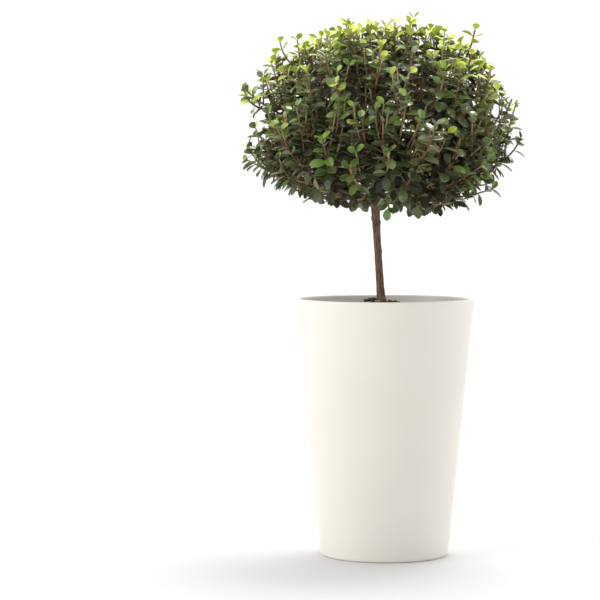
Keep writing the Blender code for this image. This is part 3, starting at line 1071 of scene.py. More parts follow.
@dataclass
class FoliageMass:
    """One mass of foliage: a stem, main shoots, side shoots and square-set pairs of leaves."""

    name: str
    bough: Limb
    space: MassSpace
    tips: list[Vector]
    plan: HeadPlan
    crowd: "LeafCrowd"
    stem_reach: float = 0.80
    stem_straightness: float = 0.45
    stem_tip_radius: float = 0.0009
    first_shoot: float = 0.30
    last_shoot: float = 0.98
    shoot_growth: float = 0.004
    shoot_room: float = 0.002
    shoot_radii: tuple[float, float] = (0.00128, 0.00085)
    forking_share: float = 0.25
    leafy_share: float = 0.48
    pocket_scale: float = 38.0
    pocket_detail: tuple[float, float] = (0.35, 2.3)
    pocket_level: float = 0.12
    pocket_depth: float = 0.72
    proud_length: float = 0.050
    proud_fresh: float = 0.26
    low_sag: float = 0.009
    low_root: float = 0.12
    proud_roots: tuple[float, float] = (0.3, 0.06)
    woody_share: float = 0.60
    ages: tuple[tuple[int, ...], ...] = ((0, 0, 1, 1, 2, 2, 2, 2), (1, 2, 2, 2, 2, 3), (2, 2, 3))
    stem_ages: tuple[int, ...] = (0, 0, 0, 0, 0, 1)
    shoot_steps: tuple[int, ...] = (8, 6, 3)
    shoot_sides: tuple[int, ...] = (5, 4, 4)
    sides: SideHabit = SideHabit()
    leaf: LeafHabit = LeafHabit()
    lit: PaintedLightHabit = PaintedLightHabit()

    def __post_init__(self) -> None:
        """Gives the mass its own seeded chance."""
        self.chance = random.Random(f"{self.plan.seed} {self.name} sprays")

    def stem(self) -> Limb:
        """The stem, from the bough's tip towards the mass's heart.

        Returns:
            The stem.
        """
        onward = self.bough.heading(1.0)
        end = self.bough.end.lerp(self.space.heart, self.stem_reach)
        bend = self.bough.end + onward * (end - self.bough.end).length * self.stem_straightness
        return Limb(self.bough.end, bend, end, (self.bough.radii[1], self.stem_tip_radius))

    def main_shoots(self, stem: Limb) -> Iterator[Shoot]:
        """The main shoots, by the same rule as the solids' shoots.

        Args:
            stem: The mass's stem.

        Yields:
            Each main shoot, with tips in line with the stem nearest to the stem's end.
        """
        onward = (stem.end - stem.start).normalized()
        ranked = sorted(self.tips, key=lambda tip: (tip - stem.start).normalized().dot(onward))
        for rank, tip in enumerate(ranked):
            share = self.first_shoot + (self.last_shoot - self.first_shoot) * (rank + 0.5) / len(ranked)
            start = stem.point(share)
            end = self.space.drawn_in(tip, self.shoot_room)
            end = self.plan.raised(end)
            heading = self.plan.shoot_heading(end)
            bend = self.space.drawn_in(end - heading * (end - start).length * 0.5, self.shoot_room)
            bend = self.plan.raised(bend)
            limb = Limb(start, bend, end + heading * self.shoot_growth, self.shoot_radii)
            fork = self.share_out_of(limb, self.forking_share)
            yield Shoot(limb, fork, self.share_out_of(limb, self.leafy_share), 1)

    def share_out_of(self, limb: Limb, depth: float) -> float:
        """The share of a limb that is deep inside the head.

        Args:
            limb: The limb.
            depth: The share of the way out that counts as deep.

        Returns:
            The last share of the limb that is deeper than that.
        """
        steps = (i / 30 for i in range(28))
        return max((share for share in steps if self.plan.share(limb.point(share)) < depth), default=0.0)

    def side_shoots(self, shoot: Shoot, spacing: float, scale: float) -> Iterator[Shoot]:
        """The side shoots of a shoot, which turn upwards and stop short of the head's outline.

        Args:
            shoot: The shoot that bears them.
            spacing: How far apart they leave it.
            scale: Their length against a first side shoot's.

        Yields:
            Each side shoot that has room.
        """
        limb, habit = shoot.limb, self.sides
        stretch = habit.last_share - shoot.fork
        count = max(1, round(limb.length() * stretch / spacing))
        turn = self.chance.uniform(0.0, 2 * math.pi)
        for i in range(count):
            share = shoot.fork + stretch * (i + self.chance.uniform(*habit.scatter)) / count
            start, along = limb.point(share), limb.heading(share)
            if self.chance.random() < habit.top_thinning * self.plan.height(start):
                continue
            turn += math.pi / 2 + self.chance.uniform(-habit.twist, habit.twist)
            aside = Matrix.Rotation(turn, 3, along) @ along.orthogonal().normalized()
            rising = self.plan.upright(start)
            ahead, sideways, up = habit.leaving
            leaving = (along * ahead + aside * sideways + UP * up * rising).normalized()
            onward = along * habit.along + self.plan.outward(start) * (habit.out[0] - habit.out[1] * rising)
            onward = onward + aside * habit.aside + UP * (habit.up[0] + habit.up[1] * rising)
            onward += Vector([self.chance.gauss(0.0, habit.stray) for _ in range(3)])
            onward.normalize()
            length = self.chance.uniform(*habit.length) * scale
            least_reach, most_reach, by_height = habit.reach
            reach = self.chance.uniform(least_reach, most_reach + by_height * self.plan.height(start))
            overlap = habit.wall_overlap * (1.0 + rising)
            while length > habit.least * habit.give_up:
                bend = start + leaving * length * habit.bend
                end = self.plan.raised(bend + onward * length * habit.onward)
                if self.plan.share(end) < reach and self.space.holds(end, -overlap):
                    break
                length *= habit.shorten
            if length >= habit.least * scale and not self.is_open(end):
                radii = (min(habit.radii[0], limb.radius(share) * habit.thinner), habit.radii[1])
                yield Shoot(Limb(start, bend, end, radii), habit.fork, habit.bare, shoot.order + 1)

    def proud_shoots(self, main: Sequence[Shoot]) -> Iterator[Shoot]:
        """The few shoots that stand proud of the head.

        Args:
            main: The mass's main shoots, which bear them.

        Yields:
            Each proud shoot whose tip is in this mass's space.
        """
        first, step = self.proud_roots
        spots = [shoot.limb.point(first + step * i) for shoot in main for i in range(11)]
        for tip in self.plan.proud_tips:
            if self.space.holds(tip):
                heading = self.plan.shoot_heading(tip)
                aim = tip - heading * self.proud_length
                start = min(spots, key=lambda spot: (spot - aim).length)
                bend = tip - heading * (tip - start).length * 0.6
                limb = Limb(start, bend, tip, self.sides.radii)
                yield Shoot(limb, 0.4, 0.15, 2, self.proud_fresh)

    def low_shoots(self, stem: Limb) -> Iterator[Shoot]:
        """The few long shoots that reach out flat under the head.

        Args:
            stem: The mass's stem, which bears them.

        Yields:
            Each low shoot whose tip is in this mass's space.
        """
        for tip in self.plan.low_tips:
            if self.space.holds(tip):
                start = stem.point(self.low_root)
                bend = self.plan.raised(start.lerp(tip, 0.5) - UP * self.low_sag)
                yield Shoot(Limb(start, bend, tip, self.sides.radii), 0.5, 0.22, 2)

    def shoots(self, stem: Limb) -> list[Shoot]:
        """All shoots: main ones, their side shoots, and the side shoots of those.

        Args:
            stem: The mass's stem.

        Returns:
            The shoots.
        """
        habit = self.sides
        main = list(self.main_shoots(stem))
        main += [*self.proud_shoots(main), *self.low_shoots(stem)]
        sides = [
            side
            for shoot in main
            for side in self.side_shoots(shoot, habit.spacing, 1.0)
            if shoot.order == 1
        ]
        fine = [
            side
            for shoot in sides
            for side in self.side_shoots(shoot, habit.fine_spacing, habit.fine_scale)
        ]
        return main + sides + fine

    def is_open(self, point: Vector) -> bool:
        """Whether a point near the outline lies in one of the pockets that are left open.

        Args:
            point: The point.

        Returns:
            True in a pocket or in one of the head's hollows.
        """
        strength, finer = self.pocket_detail
        pocket = noise.noise(point * self.pocket_scale)
        pocket += strength * noise.noise(point * self.pocket_scale * finer)
        is_pocket = pocket > self.pocket_level and self.plan.share(point) > self.pocket_depth
        return is_pocket or self.plan.in_hollow(point)

    def light(self, point: Vector) -> float:
        """How much painted light a point of the head gets, which stands for the light that reaches it there.

        Args:
            point: The point.

        Returns:
            From about 0 deep inside to about 1 at the top.
        """
        lit = self.lit
        # Painted shade and light: darker deep inside, low down and near the middle of X, lighter at the
        # sides and a little on the right.
        outer = clamped((self.plan.share(point) - lit.depth[0]) / lit.depth[1])
        side = abs(point.x) / self.plan.radius
        right_light = lit.right_side_light * point.x / self.plan.radius
        height = clamped(self.plan.height(point))
        return outer * (lit.base + lit.by_height * height + lit.by_side * side + right_light)

    def grow_leaves(self, shoot: Shoot, batch: LeafBatch) -> None:
        """Sets pairs of leaves along a shoot, each square to the pair before.

        Args:
            shoot: The shoot.
            batch: The leaves that it adds to.
        """
        limb, habit, lit = shoot.limb, self.leaf, self.lit
        leafy = limb.length() * (1 - shoot.bare)
        count = max(2, round(leafy / self.chance.uniform(*habit.spacing)))
        first_turn = self.chance.uniform(0.0, math.pi)
        olive = self.chance.random() < lit.olive_share
        high = clamped(self.plan.height(limb.end))
        spray = shoot.fresh + self.chance.gauss(*lit.spray)
        # A few sprays at random are painted lighter, more so high up: random tone and painted light.
        if self.chance.random() < lit.bright_chance:
            spray += lit.bright[0] + lit.bright[1] * high
        for i in range(count):
            share = min(shoot.bare + (1 - shoot.bare) * ((i + 1) / count), 1.0)
            from_tip = (count - 1 - i) * leafy / count
            for half_turn in (0.0, math.pi):
                turn = first_turn + i * math.pi / 2 + half_turn
                turn += self.chance.uniform(-habit.turn_scatter, habit.turn_scatter)
                self.grow_leaf(limb, share, turn, from_tip, spray, olive, batch)

    def grow_leaf(
        self,
        limb: Limb,
        share: float,
        turn: float,
        from_tip: float,
        spray: float,
        olive: bool,
        batch: LeafBatch,
    ) -> None:
        """Sets one leaf on a limb, unless it is deep inside the head or another leaf is in its way.

        Args:
            limb: The limb that bears it.
            share: Where on the limb it is.
            turn: Which way round the limb it leaves.
            from_tip: How far it is from the limb's tip.
            spray: How much lighter or darker its spray is than others.
            olive: Whether its spray is an olive one.
            batch: The leaves that it adds to.
        """
        habit, chance, plan = self.leaf, self.chance, self.plan
        root, along = limb.point(share), limb.heading(share)
        if plan.share(root) < habit.bare_core[0] + habit.bare_core[1] * plan.height(root):
            return
        aside = Matrix.Rotation(turn, 3, along) @ along.orthogonal().normalized()
        young = max(0.0, 1.0 - from_tip / habit.young_stretch)
        height, rising = clamped(plan.height(root)), plan.upright(root)
        level = 1.0 - rising
        hanging = max(0.0, 1.0 - (root.z - plan.lowest(root)) / habit.skirt)
        scatter = chance.uniform(*habit.spread_scatter)
        spread = math.radians(habit.spread * (1.0 - habit.young_closing * young) * scatter)
        direction = math.cos(spread) * along + math.sin(spread) * aside
        droop = habit.droop * level + habit.skirt_droop * hanging * chance.random()
        direction = (direction - UP * droop).normalized()
        across = self.leaf_across(direction, along, plan.outward(root), rising)
        old, new = habit.length
        length = old + (new - old) * young * (habit.young_size[0] + habit.young_size[1] * rising)
        length = length * (habit.height_size[0] - habit.height_size[1] * height)
        length *= chance.uniform(*habit.size_scatter) * (1.0 - habit.level_size * level)
        if chance.random() < habit.skirt_thinning * min(hanging, 1.0):
            return
        middle, tip = root + direction * length * habit.middle, root + direction * length
        gap = length * (habit.gap[0] + habit.gap[1] * level)
        if not self.crowd.has_room(middle, gap) or not plan.reaches(tip):
            return
        self.crowd.take(middle)
        # The leaf's painted light, with random tone for its spray and itself.
        light = self.light(tip) + spray + chance.gauss(0.0, self.lit.leaf_scatter)
        tints = self.leaf_tints(light, young, height, olive)
        breadth = chance.uniform(*habit.breadth) * (1.0 + habit.young_breadth * young * rising)
        shape = chance.randrange(len(batch.shapes))
        above = across.cross(direction)
        batch.leaves.append(Leaf(root, across, direction, above, length, breadth, shape, tints))

    def leaf_across(self, direction: Vector, along: Vector, outward: Vector, rising: float) -> Vector:
        """The way across a leaf, which settles how its face is turned.

        Args:
            direction: The way that the leaf points.
            along: The way that its shoot heads.
            outward: The way out of the head.
            rising: How upright shoots grow there, from 0 to 1.

        Returns:
            The direction, square to the leaf's own.
        """
        habit, chance = self.leaf, self.chance
        level = 1.0 - rising
        face = along * (habit.face_along[0] + habit.face_along[1] * rising)
        face = face + UP * (habit.face_up + chance.uniform(*habit.face_up_scatter) * level)
        face += along.cross(UP) * chance.uniform(-habit.face_aside, habit.face_aside) * level
        face += outward * habit.face_out
        face += Vector([chance.uniform(-habit.face_scatter, habit.face_scatter) for _ in range(3)])
        across = direction.cross(face)
        if across.length < habit.least_across:
            across = direction.cross(along)
        return Matrix.Rotation(chance.gauss(0.0, habit.roll), 3, direction) @ across.normalized()

    def leaf_tints(self, light: float, young: float, height: float, olive: bool) -> tuple[int, int, int]:
        """The numbers of the tints of a leaf's upper face, underside and rim.

        Args:
            light: How much painted light the leaf gets.
            young: How near to its shoot's tip it is, from 0 to 1.
            height: How high up the head it is, from 0 to 1.
            olive: Whether its spray is an olive one.

        Returns:
            The three numbers, counted through LeafTint, UnderTint and RimTint in turn.
        """
        lit = self.lit
        # Painted light: tips near the top get lighter tints, for young growth and painted backlit glow.
        level = light + lit.young * young * (lit.young_base + height)
        top = sum(level > limit for limit in lit.tint_limits)
        lime = top >= FIRST_LIME_TINT
        if olive and not lime and light > lit.olive_light:
            top = OLIVE_TINT
        # The shaded underside and the dark rim are painted shade; the paler rims carry a painted highlight.
        under = len(LeafTint) + (2 if lime else int(light > lit.pale_underside))
        rim = len(LeafTint) + len(UnderTint) + (2 if lime else int(light > lit.dull_rim))
        return top, under, rim

    def twig_tints(self, shoot: Shoot, steps: int) -> list[int]:
        """The tint of each step of a shoot: brown where it is old, then red, tan and green.

        Args:
            shoot: The shoot.
            steps: How many steps it has.

        Returns:
            The place of each step's tint in TwigTint.
        """
        ages = self.ages[shoot.order - 1]
        if self.chance.random() < self.woody_share * self.plan.upright(shoot.limb.end):
            ages = tuple(max(age - 1, 0) for age in ages)
        return [ages[min(int(i / steps * len(ages)), len(ages) - 1)] for i in range(steps)]

    def build(self) -> None:
        """Makes the twigs and the leaves of the mass as two pieces that stand for its solid."""
        stem = self.stem()
        twigs, batch = TubeBatch(), LeafBatch()
        twigs.add(stem, 8, 7, self.stem_ages)
        shoots = sorted(self.shoots(stem), key=lambda shoot: -self.plan.share(shoot.limb.point(0.6)))
        for shoot in shoots:
            steps, sides = self.shoot_steps[shoot.order - 1], self.shoot_sides[shoot.order - 1]
            twigs.add(shoot.limb, steps, sides, self.twig_tints(shoot, steps))
            self.grow_leaves(shoot, batch)
        solid = f"foliage_{self.name}"
        finished_piece(f"twigs_{self.name}", twigs.mesh(TwigTint), (solid,), 50)
        finished_piece(f"leaves_{self.name}", batch.mesh(), (solid,), 24)
        LOG.info("%s: %d leaves", solid, len(batch.leaves))


class LeafCrowd:
    """Where leaves already are, in small cubes of space, so that no two lie in each other."""

    def __init__(self, cube: float = 0.006) -> None:
        """Starts empty, with cubes of a size."""
        self.cube = cube
        self.taken: dict[tuple[int, int, int], list[Vector]] = {}

    def cube_of(self, point: Vector) -> tuple[int, int, int]:
        """The cube that a point lies in."""
        return tuple(math.floor(value / self.cube) for value in point)

    def has_room(self, point: Vector, gap: float) -> bool:
        """Whether a leaf's middle fits at a point.

        Args:
            point: The point.
            gap: How far from all others it has to be.

        Returns:
            True where it has that gap.
        """
        x, y, z = self.cube_of(point)
        near = (
            other
            for i in (x - 1, x, x + 1)
            for j in (y - 1, y, y + 1)
            for k in (z - 1, z, z + 1)
            for other in self.taken.get((i, j, k), ())
        )
        return all((other - point).length > gap for other in near)

    def take(self, point: Vector) -> None:
        """Marks the place of a leaf's middle."""
        self.taken.setdefault(self.cube_of(point), []).append(point)


# ------------------------------------------------------------------ bark


@dataclass(frozen=True)
class Knot:
    """A small swelling where a twig was cut off: its height, its turn round the stem and its size."""

    height: float
    turn: float
    size: float
    rise: float


@dataclass
class BarkLimbs:
    """The stem and the boughs as one piece with the bark's relief."""

    plan: HeadPlan
    sides: int = 28
    rings: int = 150
    relief: float = 0.00034
    knots: tuple[Knot, ...] = (
        Knot(0.2520, -1.20, 0.0026, 0.0008),
        Knot(0.2704, -1.75, 0.0024, 0.0008),
        Knot(0.2865, -0.30, 0.0030, 0.0007),
        Knot(0.2990, 2.60, 0.0026, 0.0006),
        Knot(0.3139, -0.25, 0.0024, 0.0010),
        Knot(0.3176, -2.90, 0.0030, 0.0011),
        Knot(0.3290, -1.40, 0.0034, 0.0009),
    )
    bough_sides: int = 12
    bough_rings: int = 14
    collar: float = 1.55
    collar_share: float = 0.22
    ridge_draw: float = 0.24
    layers: tuple[tuple[float, float], ...] = ((0.70, 620.0), (0.35, 1500.0), (0.30, 260.0))
    knot_radius: float = 0.0038
    knot_fall: float = 2.2
    dent: tuple[float, float] = (0.75, 22.0)
    bough_grain: float = 700.0
    grain_shifts: tuple[Vector, ...] = points((9.3, -1.5, -8.0), (0.0, 0.0, 0.0), (6.3, 0.2, -2.7))

    def tube(
        self, stations: Sequence[tuple[Vector, Vector, float]], sides: int, shape: bmesh.types.BMesh
    ) -> list[bmesh.types.BMVert]:
        """Extrudes a ring along stations, and closes both ends.

        Args:
            stations: The centre, the heading and the radius at each ring.
            sides: How many sides the tube has.
            shape: The bmesh that it goes into.

        Returns:
            The tube's corners.
        """
        turns = path_turns([heading for _, heading, _ in stations])
        places = [
            Matrix.Translation(centre) @ turn.to_4x4() @ Matrix.Scale(radius, 4)
            for (centre, _, radius), turn in zip(stations, turns)
        ]
        ring = bmesh.ops.create_circle(shape, segments=sides, radius=1.0, matrix=places[0])["verts"]
        edges = list(dict.fromkeys(edge for corner in ring for edge in corner.link_edges))
        corners = list(ring)
        bmesh.ops.contextual_create(shape, geom=edges)
        for before, after in zip(places, places[1:]):
            grown = bmesh.ops.extrude_edge_only(shape, edges=edges)["geom"]
            ring = [item for item in grown if isinstance(item, bmesh.types.BMVert)]
            edges = [item for item in grown if isinstance(item, bmesh.types.BMEdge)]
            bmesh.ops.transform(shape, matrix=after @ before.inverted(), verts=ring)
            corners.extend(ring)
        bmesh.ops.contextual_create(shape, geom=edges)
        return corners

    def bark_height(self, point: Vector) -> float:
        """How far the bark stands out at a point: long ridges, finer roughness and rings.

        Args:
            point: The point.

        Returns:
            The height, which is negative in furrows.
        """
        drawn = Vector((point.x, point.y, point.z * self.ridge_draw))
        (ridge, ridge_scale), (crust, crust_scale), (ring, ring_scale) = self.layers
        total = ridge * noise.noise(drawn * ridge_scale) + crust * noise.noise(drawn * crust_scale)
        return self.relief * (total + ring * noise.noise(Vector((3.1, 7.7, point.z * ring_scale))))

    def knot_height(self, point: Vector, axis: Vector) -> float:
        """How far the knots lift the bark at a point, with a dent in the middle of each.

        Args:
            point: The point.
            axis: The stem's middle at the point's height.

        Returns:
            The lift.
        """
        dent_depth, dent_fall = self.dent
        turn = math.atan2(point.y - axis.y, point.x - axis.x)
        lift = 0.0
        for knot in self.knots:
            round_way = math.remainder(turn - knot.turn, 2 * math.pi) * self.knot_radius
            gap = math.hypot(round_way, point.z - knot.height) / knot.size
            dent = dent_depth * math.exp(-dent_fall * gap * gap)
            lift += knot.rise * (math.exp(-self.knot_fall * gap * gap) - dent)
        return lift

    def bough_push(self, point: Vector) -> Vector:
        """How far the bark of a bough is moved at a point.

        The three parts are single noises, because a noise vector differs from one run to the next.

        Args:
            point: The point.

        Returns:
            The small move.
        """
        spot = point * self.bough_grain
        return Vector([noise.noise(spot + shift) for shift in self.grain_shifts]) * self.relief * 0.5

    def build(self) -> None:
        """Makes the stem and the boughs as one piece."""
        trunk = self.plan.trunk
        shape = bmesh.new()
        stations = []
        for i in range(self.rings + 1):
            share = i / self.rings
            stations.append((trunk.course.point(share), trunk.course.heading(share), trunk.radius(share)))
        stations[0] = (stations[0][0], UP, stations[0][2])
        for corner in self.tube(stations, self.sides, shape):
            axis = trunk.course.point(trunk.share_at(corner.co.z))
            out = Vector((corner.co.x - axis.x, corner.co.y - axis.y, 0.0)).normalized()
            corner.co += out * (self.bark_height(corner.co) + self.knot_height(corner.co, axis))
        for _, _, bough in self.plan.masses():
            stations = []
            for i in range(self.bough_rings + 1):
                share = i / self.bough_rings
                swell = 1.0 + (self.collar - 1.0) * max(0.0, 1.0 - share / self.collar_share) ** 2
                stations.append((bough.point(share), bough.heading(share), bough.radius(share) * swell))
            for corner in self.tube(stations, self.bough_sides, shape):
                corner.co += self.bough_push(corner.co)
        solids = ["trunk", *(f"bough_{name}" for name, _, _ in self.plan.masses())]
        finished_piece("stem_and_boughs", mesh_of(shape, [BarkFinish().material()]), solids, 70)


# ------------------------------------------------------------------ pot and soil


@dataclass
class PlantPot:
    """The tall tapered pot: a turned wall with a round lip and a softly rounded foot."""

    height: float = 0.2424
    rim_radius: float = 0.085
    foot_radius: float = 0.0606
    wall: float = 0.0045
    floor: float = 0.006
    foot_rounding: float = 0.0022
    steps: int = 160
    lip_steps: int = 12
    foot_steps: int = 6
    wall_steps: int = 12

    def outer(self, height: float) -> float:
        """The outer radius at a height."""
        return self.foot_radius + (self.rim_radius - self.foot_radius) * height / self.height

    def inner(self, height: float) -> float:
        """The inner radius at a height."""
        return self.outer(height) - self.wall / math.cos(self.taper())

    def taper(self) -> float:
        """How far the wall leans out, as an angle."""
        return math.atan((self.rim_radius - self.foot_radius) / self.height)

    def arc(
        self, centre: tuple[float, float], radius: float, first: float, last: float, steps: int
    ) -> list[tuple[float, float]]:
        """The (radius, height) points of an arc.

        Args:
            centre: The arc's centre.
            radius: Its radius.
            first: The angle where it starts.
            last: The angle where it ends.
            steps: How many steps it has.

        Returns:
            The points.
        """
        turns = [first + (last - first) * i / steps for i in range(steps + 1)]
        return [(centre[0] + radius * math.cos(t), centre[1] + radius * math.sin(t)) for t in turns]

    def profile(self) -> list[tuple[float, float]]:
        """The wall's outline, from the middle of the underside over the lip to the inner floor.

        Returns:
            The (radius, height) points.
        """
        taper, rounding = self.taper(), self.foot_rounding
        foot_centre = (self.outer(rounding) - rounding, rounding)
        foot = self.arc(foot_centre, rounding, -math.pi / 2, 0.0, self.foot_steps)
        lip_height = self.height - self.wall / 2
        lip_centre = ((self.outer(lip_height) + self.inner(lip_height)) / 2, lip_height)
        lip = self.arc(lip_centre, self.wall / 2, -taper, math.pi - taper, self.lip_steps)
        low, high = foot[-1][1], lip[0][1]
        levels = [low + (high - low) * i / self.wall_steps for i in range(1, self.wall_steps)]
        side = [(self.outer(level), level) for level in levels]
        inside = [(self.inner(level), level) for level in reversed(levels) if level > self.floor]
        floor = [(self.inner(self.floor), self.floor), (0.0, self.floor)]
        return [(0.0, 0.0), *foot, *side, *lip, *inside, *floor]

    def build(self) -> None:
        """Makes the pot."""
        shape = turned(self.profile(), self.steps)
        finished_piece("tapered_pot", mesh_of(shape, [GlazeFinish().material()]), ["pot"], 40)


@dataclass
class PottingMix:
    """The soil in the pot: an uneven mound, with crumbs and chips of bark on it."""

    pot: PlantPot
    top: float = 0.2400
    edge_drop: float = 0.0085
    patch_radius: float = 0.0095
    depth: float = 0.05
    rounds: int = 44
    steps: int = 150
    relief: float = 0.0011
    crumbs: int = 1500
    chips: int = 150
    stem_clearance: float = 0.0065
    wall_gap: float = 0.0003
    rough_scales: tuple[float, float] = (260.0, 620.0)
    calm_edge: float = 0.004
    crumb_reach: float = 0.003
    crumb_size: tuple[float, float] = (0.0005, 0.0014)
    chip_size: tuple[float, float] = (0.0016, 0.0030)
    lumps: tuple[tuple[float, float, float, float], ...] = (
        (-0.0108, -0.0030, 0.2418, 0.0036),
        (-0.0142, -0.0010, 0.2412, 0.0034),
        (-0.0178, -0.0040, 0.2406, 0.0028),
        (-0.0125, 0.0050, 0.2410, 0.0030),
        (0.0042, -0.0040, 0.2404, 0.0022),
        (-0.0030, -0.0085, 0.2402, 0.0024),
    )
    seed: int = 23

    def surface(self, radius: float) -> float:
        """The mound's height at a distance from the pot's axis.

        Args:
            radius: The distance.

        Returns:
            The height.
        """
        edge = self.pot.inner(self.top - self.edge_drop)
        share = clamped((edge - radius) / (edge - self.patch_radius))
        return self.top - self.edge_drop * math.cos(share * math.pi / 2)

    def mound(self) -> bmesh.types.BMesh:
        """The mound's rough surface, closed by a side and a bottom inside the pot.

        Returns:
            The mound as a bmesh.
        """
        low = self.top - self.depth
        coarse, fine = self.rough_scales
        edge_radius = self.pot.inner(self.top - self.edge_drop) - self.wall_gap
        profile = [(0.0, low), (self.pot.inner(low) - self.wall_gap, low)]
        for i in range(self.rounds + 1):
            radius = edge_radius * (1 - i / self.rounds)
            profile.append((radius, self.surface(radius)))
        shape = turned(profile, self.steps)
        for corner in shape.verts:
            if corner.co.z > low + 0.001:
                radius = math.hypot(corner.co.x, corner.co.y)
                calm = min(1.0, (edge_radius - radius) / self.calm_edge)
                lumps = noise.noise(corner.co * coarse) + 0.6 * noise.noise(corner.co * fine)
                corner.co.z += self.relief * (lumps * calm - 0.9)
        return shape

    def build(self) -> None:
        """Makes the mound and what lies on it."""
        mix = SoilFinish("potting mix", (0.016, 0.010, 0.007), (0.062, 0.040, 0.027))
        mound = mesh_of(self.mound(), [mix.material()])
        finished_piece("soil_mound", mound, ["potting_soil"], 50)
        crumb = SoilFinish("soil crumbs", (0.022, 0.013, 0.009), (0.085, 0.054, 0.036))
        chip = SoilFinish("bark chips", (0.060, 0.028, 0.016), (0.190, 0.105, 0.066), 0.85)
        crumbs = mesh_of(self.scattered(), [crumb.material(), chip.material()])
        finished_piece("soil_crumbs", crumbs, (), None)

    def scattered(self) -> bmesh.types.BMesh:
        """Crumbs and chips all over the mound, and a few larger lumps at the stem's foot.

        Returns:
            All of them as a bmesh.
        """
        chance = random.Random(self.seed)
        shape = bmesh.new()
        reach = self.pot.inner(self.top - self.edge_drop) - self.crumb_reach
        for i in range(self.crumbs + self.chips):
            radius = reach * math.sqrt(chance.random())
            turn = chance.uniform(0.0, 2 * math.pi)
            spot = Vector((radius * math.cos(turn), radius * math.sin(turn), 0.0))
            if (spot - Vector((self.stem_x(), 0.0, 0.0))).length < self.stem_clearance:
                continue
            is_chip = i >= self.crumbs
            size = chance.uniform(*(self.chip_size if is_chip else self.crumb_size))
            spot.z = self.surface(radius) - self.relief * 0.7 + size * 0.15
            squash = (1.0, 0.85, 0.7)
            if is_chip:
                squash = (1.0, chance.uniform(0.5, 0.8), chance.uniform(0.22, 0.4))
            self.lump(shape, chance, spot, size, squash, int(is_chip))
        for x, y, z, size in self.lumps:
            self.lump(shape, chance, Vector((x, y, z)), size, (1.0, 0.75, 0.60), 1)
        return shape

    def stem_x(self) -> float:
        """Where the stem stands, along X."""
        return Trunk().course.start.x

    def lump(
        self,
        shape: bmesh.types.BMesh,
        chance: random.Random,
        spot: Vector,
        size: float,
        squash: Triple,
        finish: int,
    ) -> None:
        """Adds one angular lump.

        Args:
            shape: The bmesh that it goes into.
            chance: The seeded chance that it is shaped by.
            spot: Its middle.
            size: Its half length.
            squash: Its three half sizes against that length.
            finish: The number of its material.
        """
        turn = Matrix.Rotation(chance.uniform(0.0, 2 * math.pi), 4, "Z")
        tilt = Matrix.Rotation(chance.uniform(-0.35, 0.35), 4, "X")
        scale = Matrix.Diagonal((*(size * part for part in squash), 1.0))
        made = bmesh.ops.create_icosphere(
            shape, subdivisions=1, radius=1.0, matrix=Matrix.Translation(spot) @ turn @ tilt @ scale
        )["verts"]
        for corner in made:
            corner.co += (corner.co - spot) * chance.uniform(-0.28, 0.22)
            for face in corner.link_faces:
                face.material_index = finish


# ------------------------------------------------------------------ studio


@dataclass(frozen=True)
class SoftLight:
    """A broad soft light from far away: the way it shines, its strength, its width and its colour."""

    name: str
    heading: Vector
    strength: float
    width: float
    colour: Colour

    def hang(self) -> None:
        """Puts the light into the scene."""
        lamp = bpy.data.lights.new(self.name, "SUN")
        lamp.energy = self.strength
        lamp.angle = math.radians(self.width)
        lamp.color = self.colour
        holder = bpy.data.objects.new(self.name, lamp)
        holder.rotation_euler = self.heading.to_track_quat("-Z", "Y").to_euler()
        bpy.context.scene.collection.objects.link(holder)


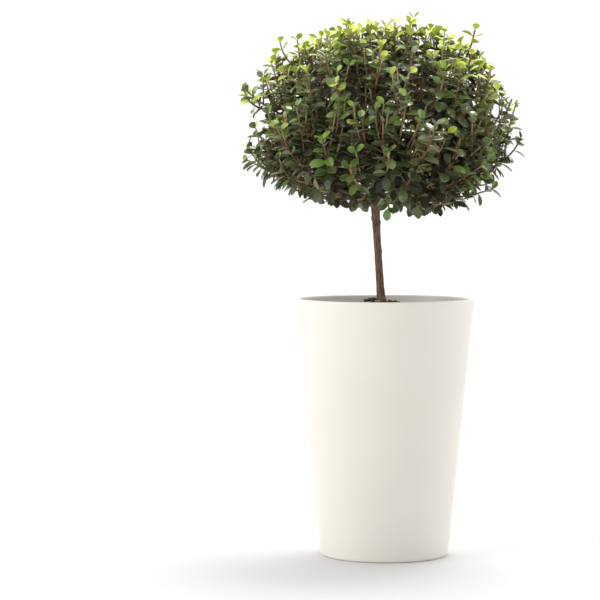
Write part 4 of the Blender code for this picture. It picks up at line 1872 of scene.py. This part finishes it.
@dataclass
class Studio:
    """The pale floor, the soft lights, the white surroundings and the camera."""

    floor_radius: float = 40.0
    floor_colour: Colour = (0.60, 0.60, 0.605)
    brightness: float = 0.68
    brighter_towards: Triple = (-0.04, 0.34, 0.36)
    wall_sides: tuple[float, float] = (0.30, 0.85)
    wall_foot: tuple[float, float] = (0.10, 0.30)
    wall_strength: float = 1.1
    camera_place: Vector = Vector((-0.0798, -2.145, 0.340))
    camera_tilt: float = 87.35
    lens: float = 136.3
    sensor: float = 36.0
    lights: tuple[SoftLight, ...] = (
        SoftLight("side window", Vector((0.78, 0.34, -0.46)), 1.30, 45.0, (1.0, 0.99, 0.965)),
        SoftLight("roof light", Vector((-0.15, -0.26, -0.95)), 1.45, 24.0, (1.0, 1.0, 1.0)),
        SoftLight("far side", Vector((-0.85, -0.05, -0.22)), 0.62, 60.0, (1.0, 0.99, 0.97)),
    )

    def build(self) -> None:
        """Makes the floor, the lights, the surroundings and the camera."""
        shape = bmesh.new()
        bmesh.ops.create_circle(shape, cap_ends=True, segments=96, radius=self.floor_radius)
        material, shader = new_material("studio floor", 0.85)
        shader.inputs["Base Color"].default_value = (*self.floor_colour, 1.0)
        floor = bpy.data.objects.new("studio_floor", mesh_of(shape, [material]))
        bpy.context.scene.collection.objects.link(floor)
        floor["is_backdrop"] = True
        for light in self.lights:
            light.hang()
        self.surround()
        self.set_camera()

    def surround(self) -> None:
        """Gives the scene white surroundings that are brightest above and behind."""
        world = bpy.data.worlds.new("studio surroundings")
        world.use_nodes = True
        tree = world.node_tree
        direction = tree.nodes.new("ShaderNodeTexCoord").outputs["Generated"]
        lean = tree.nodes.new("ShaderNodeVectorMath")
        lean.operation = "DOT_PRODUCT"
        lean.inputs[1].default_value = self.brighter_towards
        tree.links.new(direction, lean.inputs[0])
        apart = tree.nodes.new("ShaderNodeSeparateXYZ")
        tree.links.new(direction, apart.inputs[0])
        sides = self.smooth_edge(tree, apart.outputs["Y"], self.wall_sides, self.wall_strength)
        foot = self.smooth_edge(tree, apart.outputs["Z"], self.wall_foot, 1.0)
        total = self.joined(tree, "ADD", lean.outputs["Value"], self.brightness)
        both = self.joined(tree, "ADD", total, self.joined(tree, "MULTIPLY", sides, foot))
        background = tree.nodes["Background"]
        background.inputs["Color"].default_value = (1.0, 1.0, 1.0, 1.0)
        tree.links.new(both, background.inputs["Strength"])
        bpy.context.scene.world = world
        bpy.context.scene.view_settings.view_transform = "Standard"

    def joined(
        self,
        tree: bpy.types.NodeTree,
        operation: str,
        first: bpy.types.NodeSocket,
        second: bpy.types.NodeSocket | float,
    ) -> bpy.types.NodeSocket:
        """Joins two values by a sum or a product.

        Args:
            tree: The tree that takes the node.
            operation: The node's operation.
            first: The first value's socket.
            second: The second value's socket, or a constant.

        Returns:
            The result's socket.
        """
        node = tree.nodes.new("ShaderNodeMath")
        node.operation = operation
        tree.links.new(first, node.inputs[0])
        if isinstance(second, float):
            node.inputs[1].default_value = second
        else:
            tree.links.new(second, node.inputs[1])
        return node.outputs["Value"]

    def smooth_edge(
        self, tree: bpy.types.NodeTree, value: bpy.types.NodeSocket, span: tuple[float, float], height: float
    ) -> bpy.types.NodeSocket:
        """A value that rises smoothly from 0 over a span.

        Args:
            tree: The tree that takes the node.
            value: The socket that is read.
            span: Where the rise starts and ends.
            height: How high it rises.

        Returns:
            The risen value's socket.
        """
        node = tree.nodes.new("ShaderNodeMapRange")
        node.interpolation_type = "SMOOTHSTEP"
        node.inputs["From Min"].default_value, node.inputs["From Max"].default_value = span
        node.inputs["To Max"].default_value = height
        tree.links.new(value, node.inputs["Value"])
        return node.outputs["Result"]

    def set_camera(self) -> None:
        """Sets the camera a little above the rim, level with the head."""
        camera = bpy.data.cameras.new("camera")
        camera.lens = self.lens
        camera.sensor_width = self.sensor
        holder = bpy.data.objects.new("camera", camera)
        holder.location = self.camera_place
        holder.rotation_euler = (math.radians(self.camera_tilt), 0.0, 0.0)
        bpy.context.scene.collection.objects.link(holder)
        bpy.context.scene.camera = holder


# ------------------------------------------------------------------ the whole plant


def plain_box() -> list[list[float]]:
    """The shown model's lowest and highest corner as plain lists."""
    return [[float(value) for value in corner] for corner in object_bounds()]


def main() -> None:
    """Builds the pot, the soil, the bark, the foliage and the studio, and reads the solids' box that the
    leaves keep within.
    """
    logging.basicConfig(level=logging.INFO, format="%(message)s")
    solid_box = plain_box()
    plan = HeadPlan(solid_box)
    pot = PlantPot()
    pot.build()
    PottingMix(pot).build()
    BarkLimbs(plan).build()
    masses = list(plan.masses())
    hearts = {name: heart for name, heart, _ in masses}
    crowd = LeafCrowd()
    tips = plan.shoot_tips()
    for name, _, bough in masses:
        space = MassSpace(name, hearts)
        own_tips = [tip for tip in tips if space.holds(tip)]
        FoliageMass(name, bough, space, own_tips, plan, crowd).build()
    Studio().build()
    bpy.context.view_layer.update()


if __name__ == "__main__":
    main()
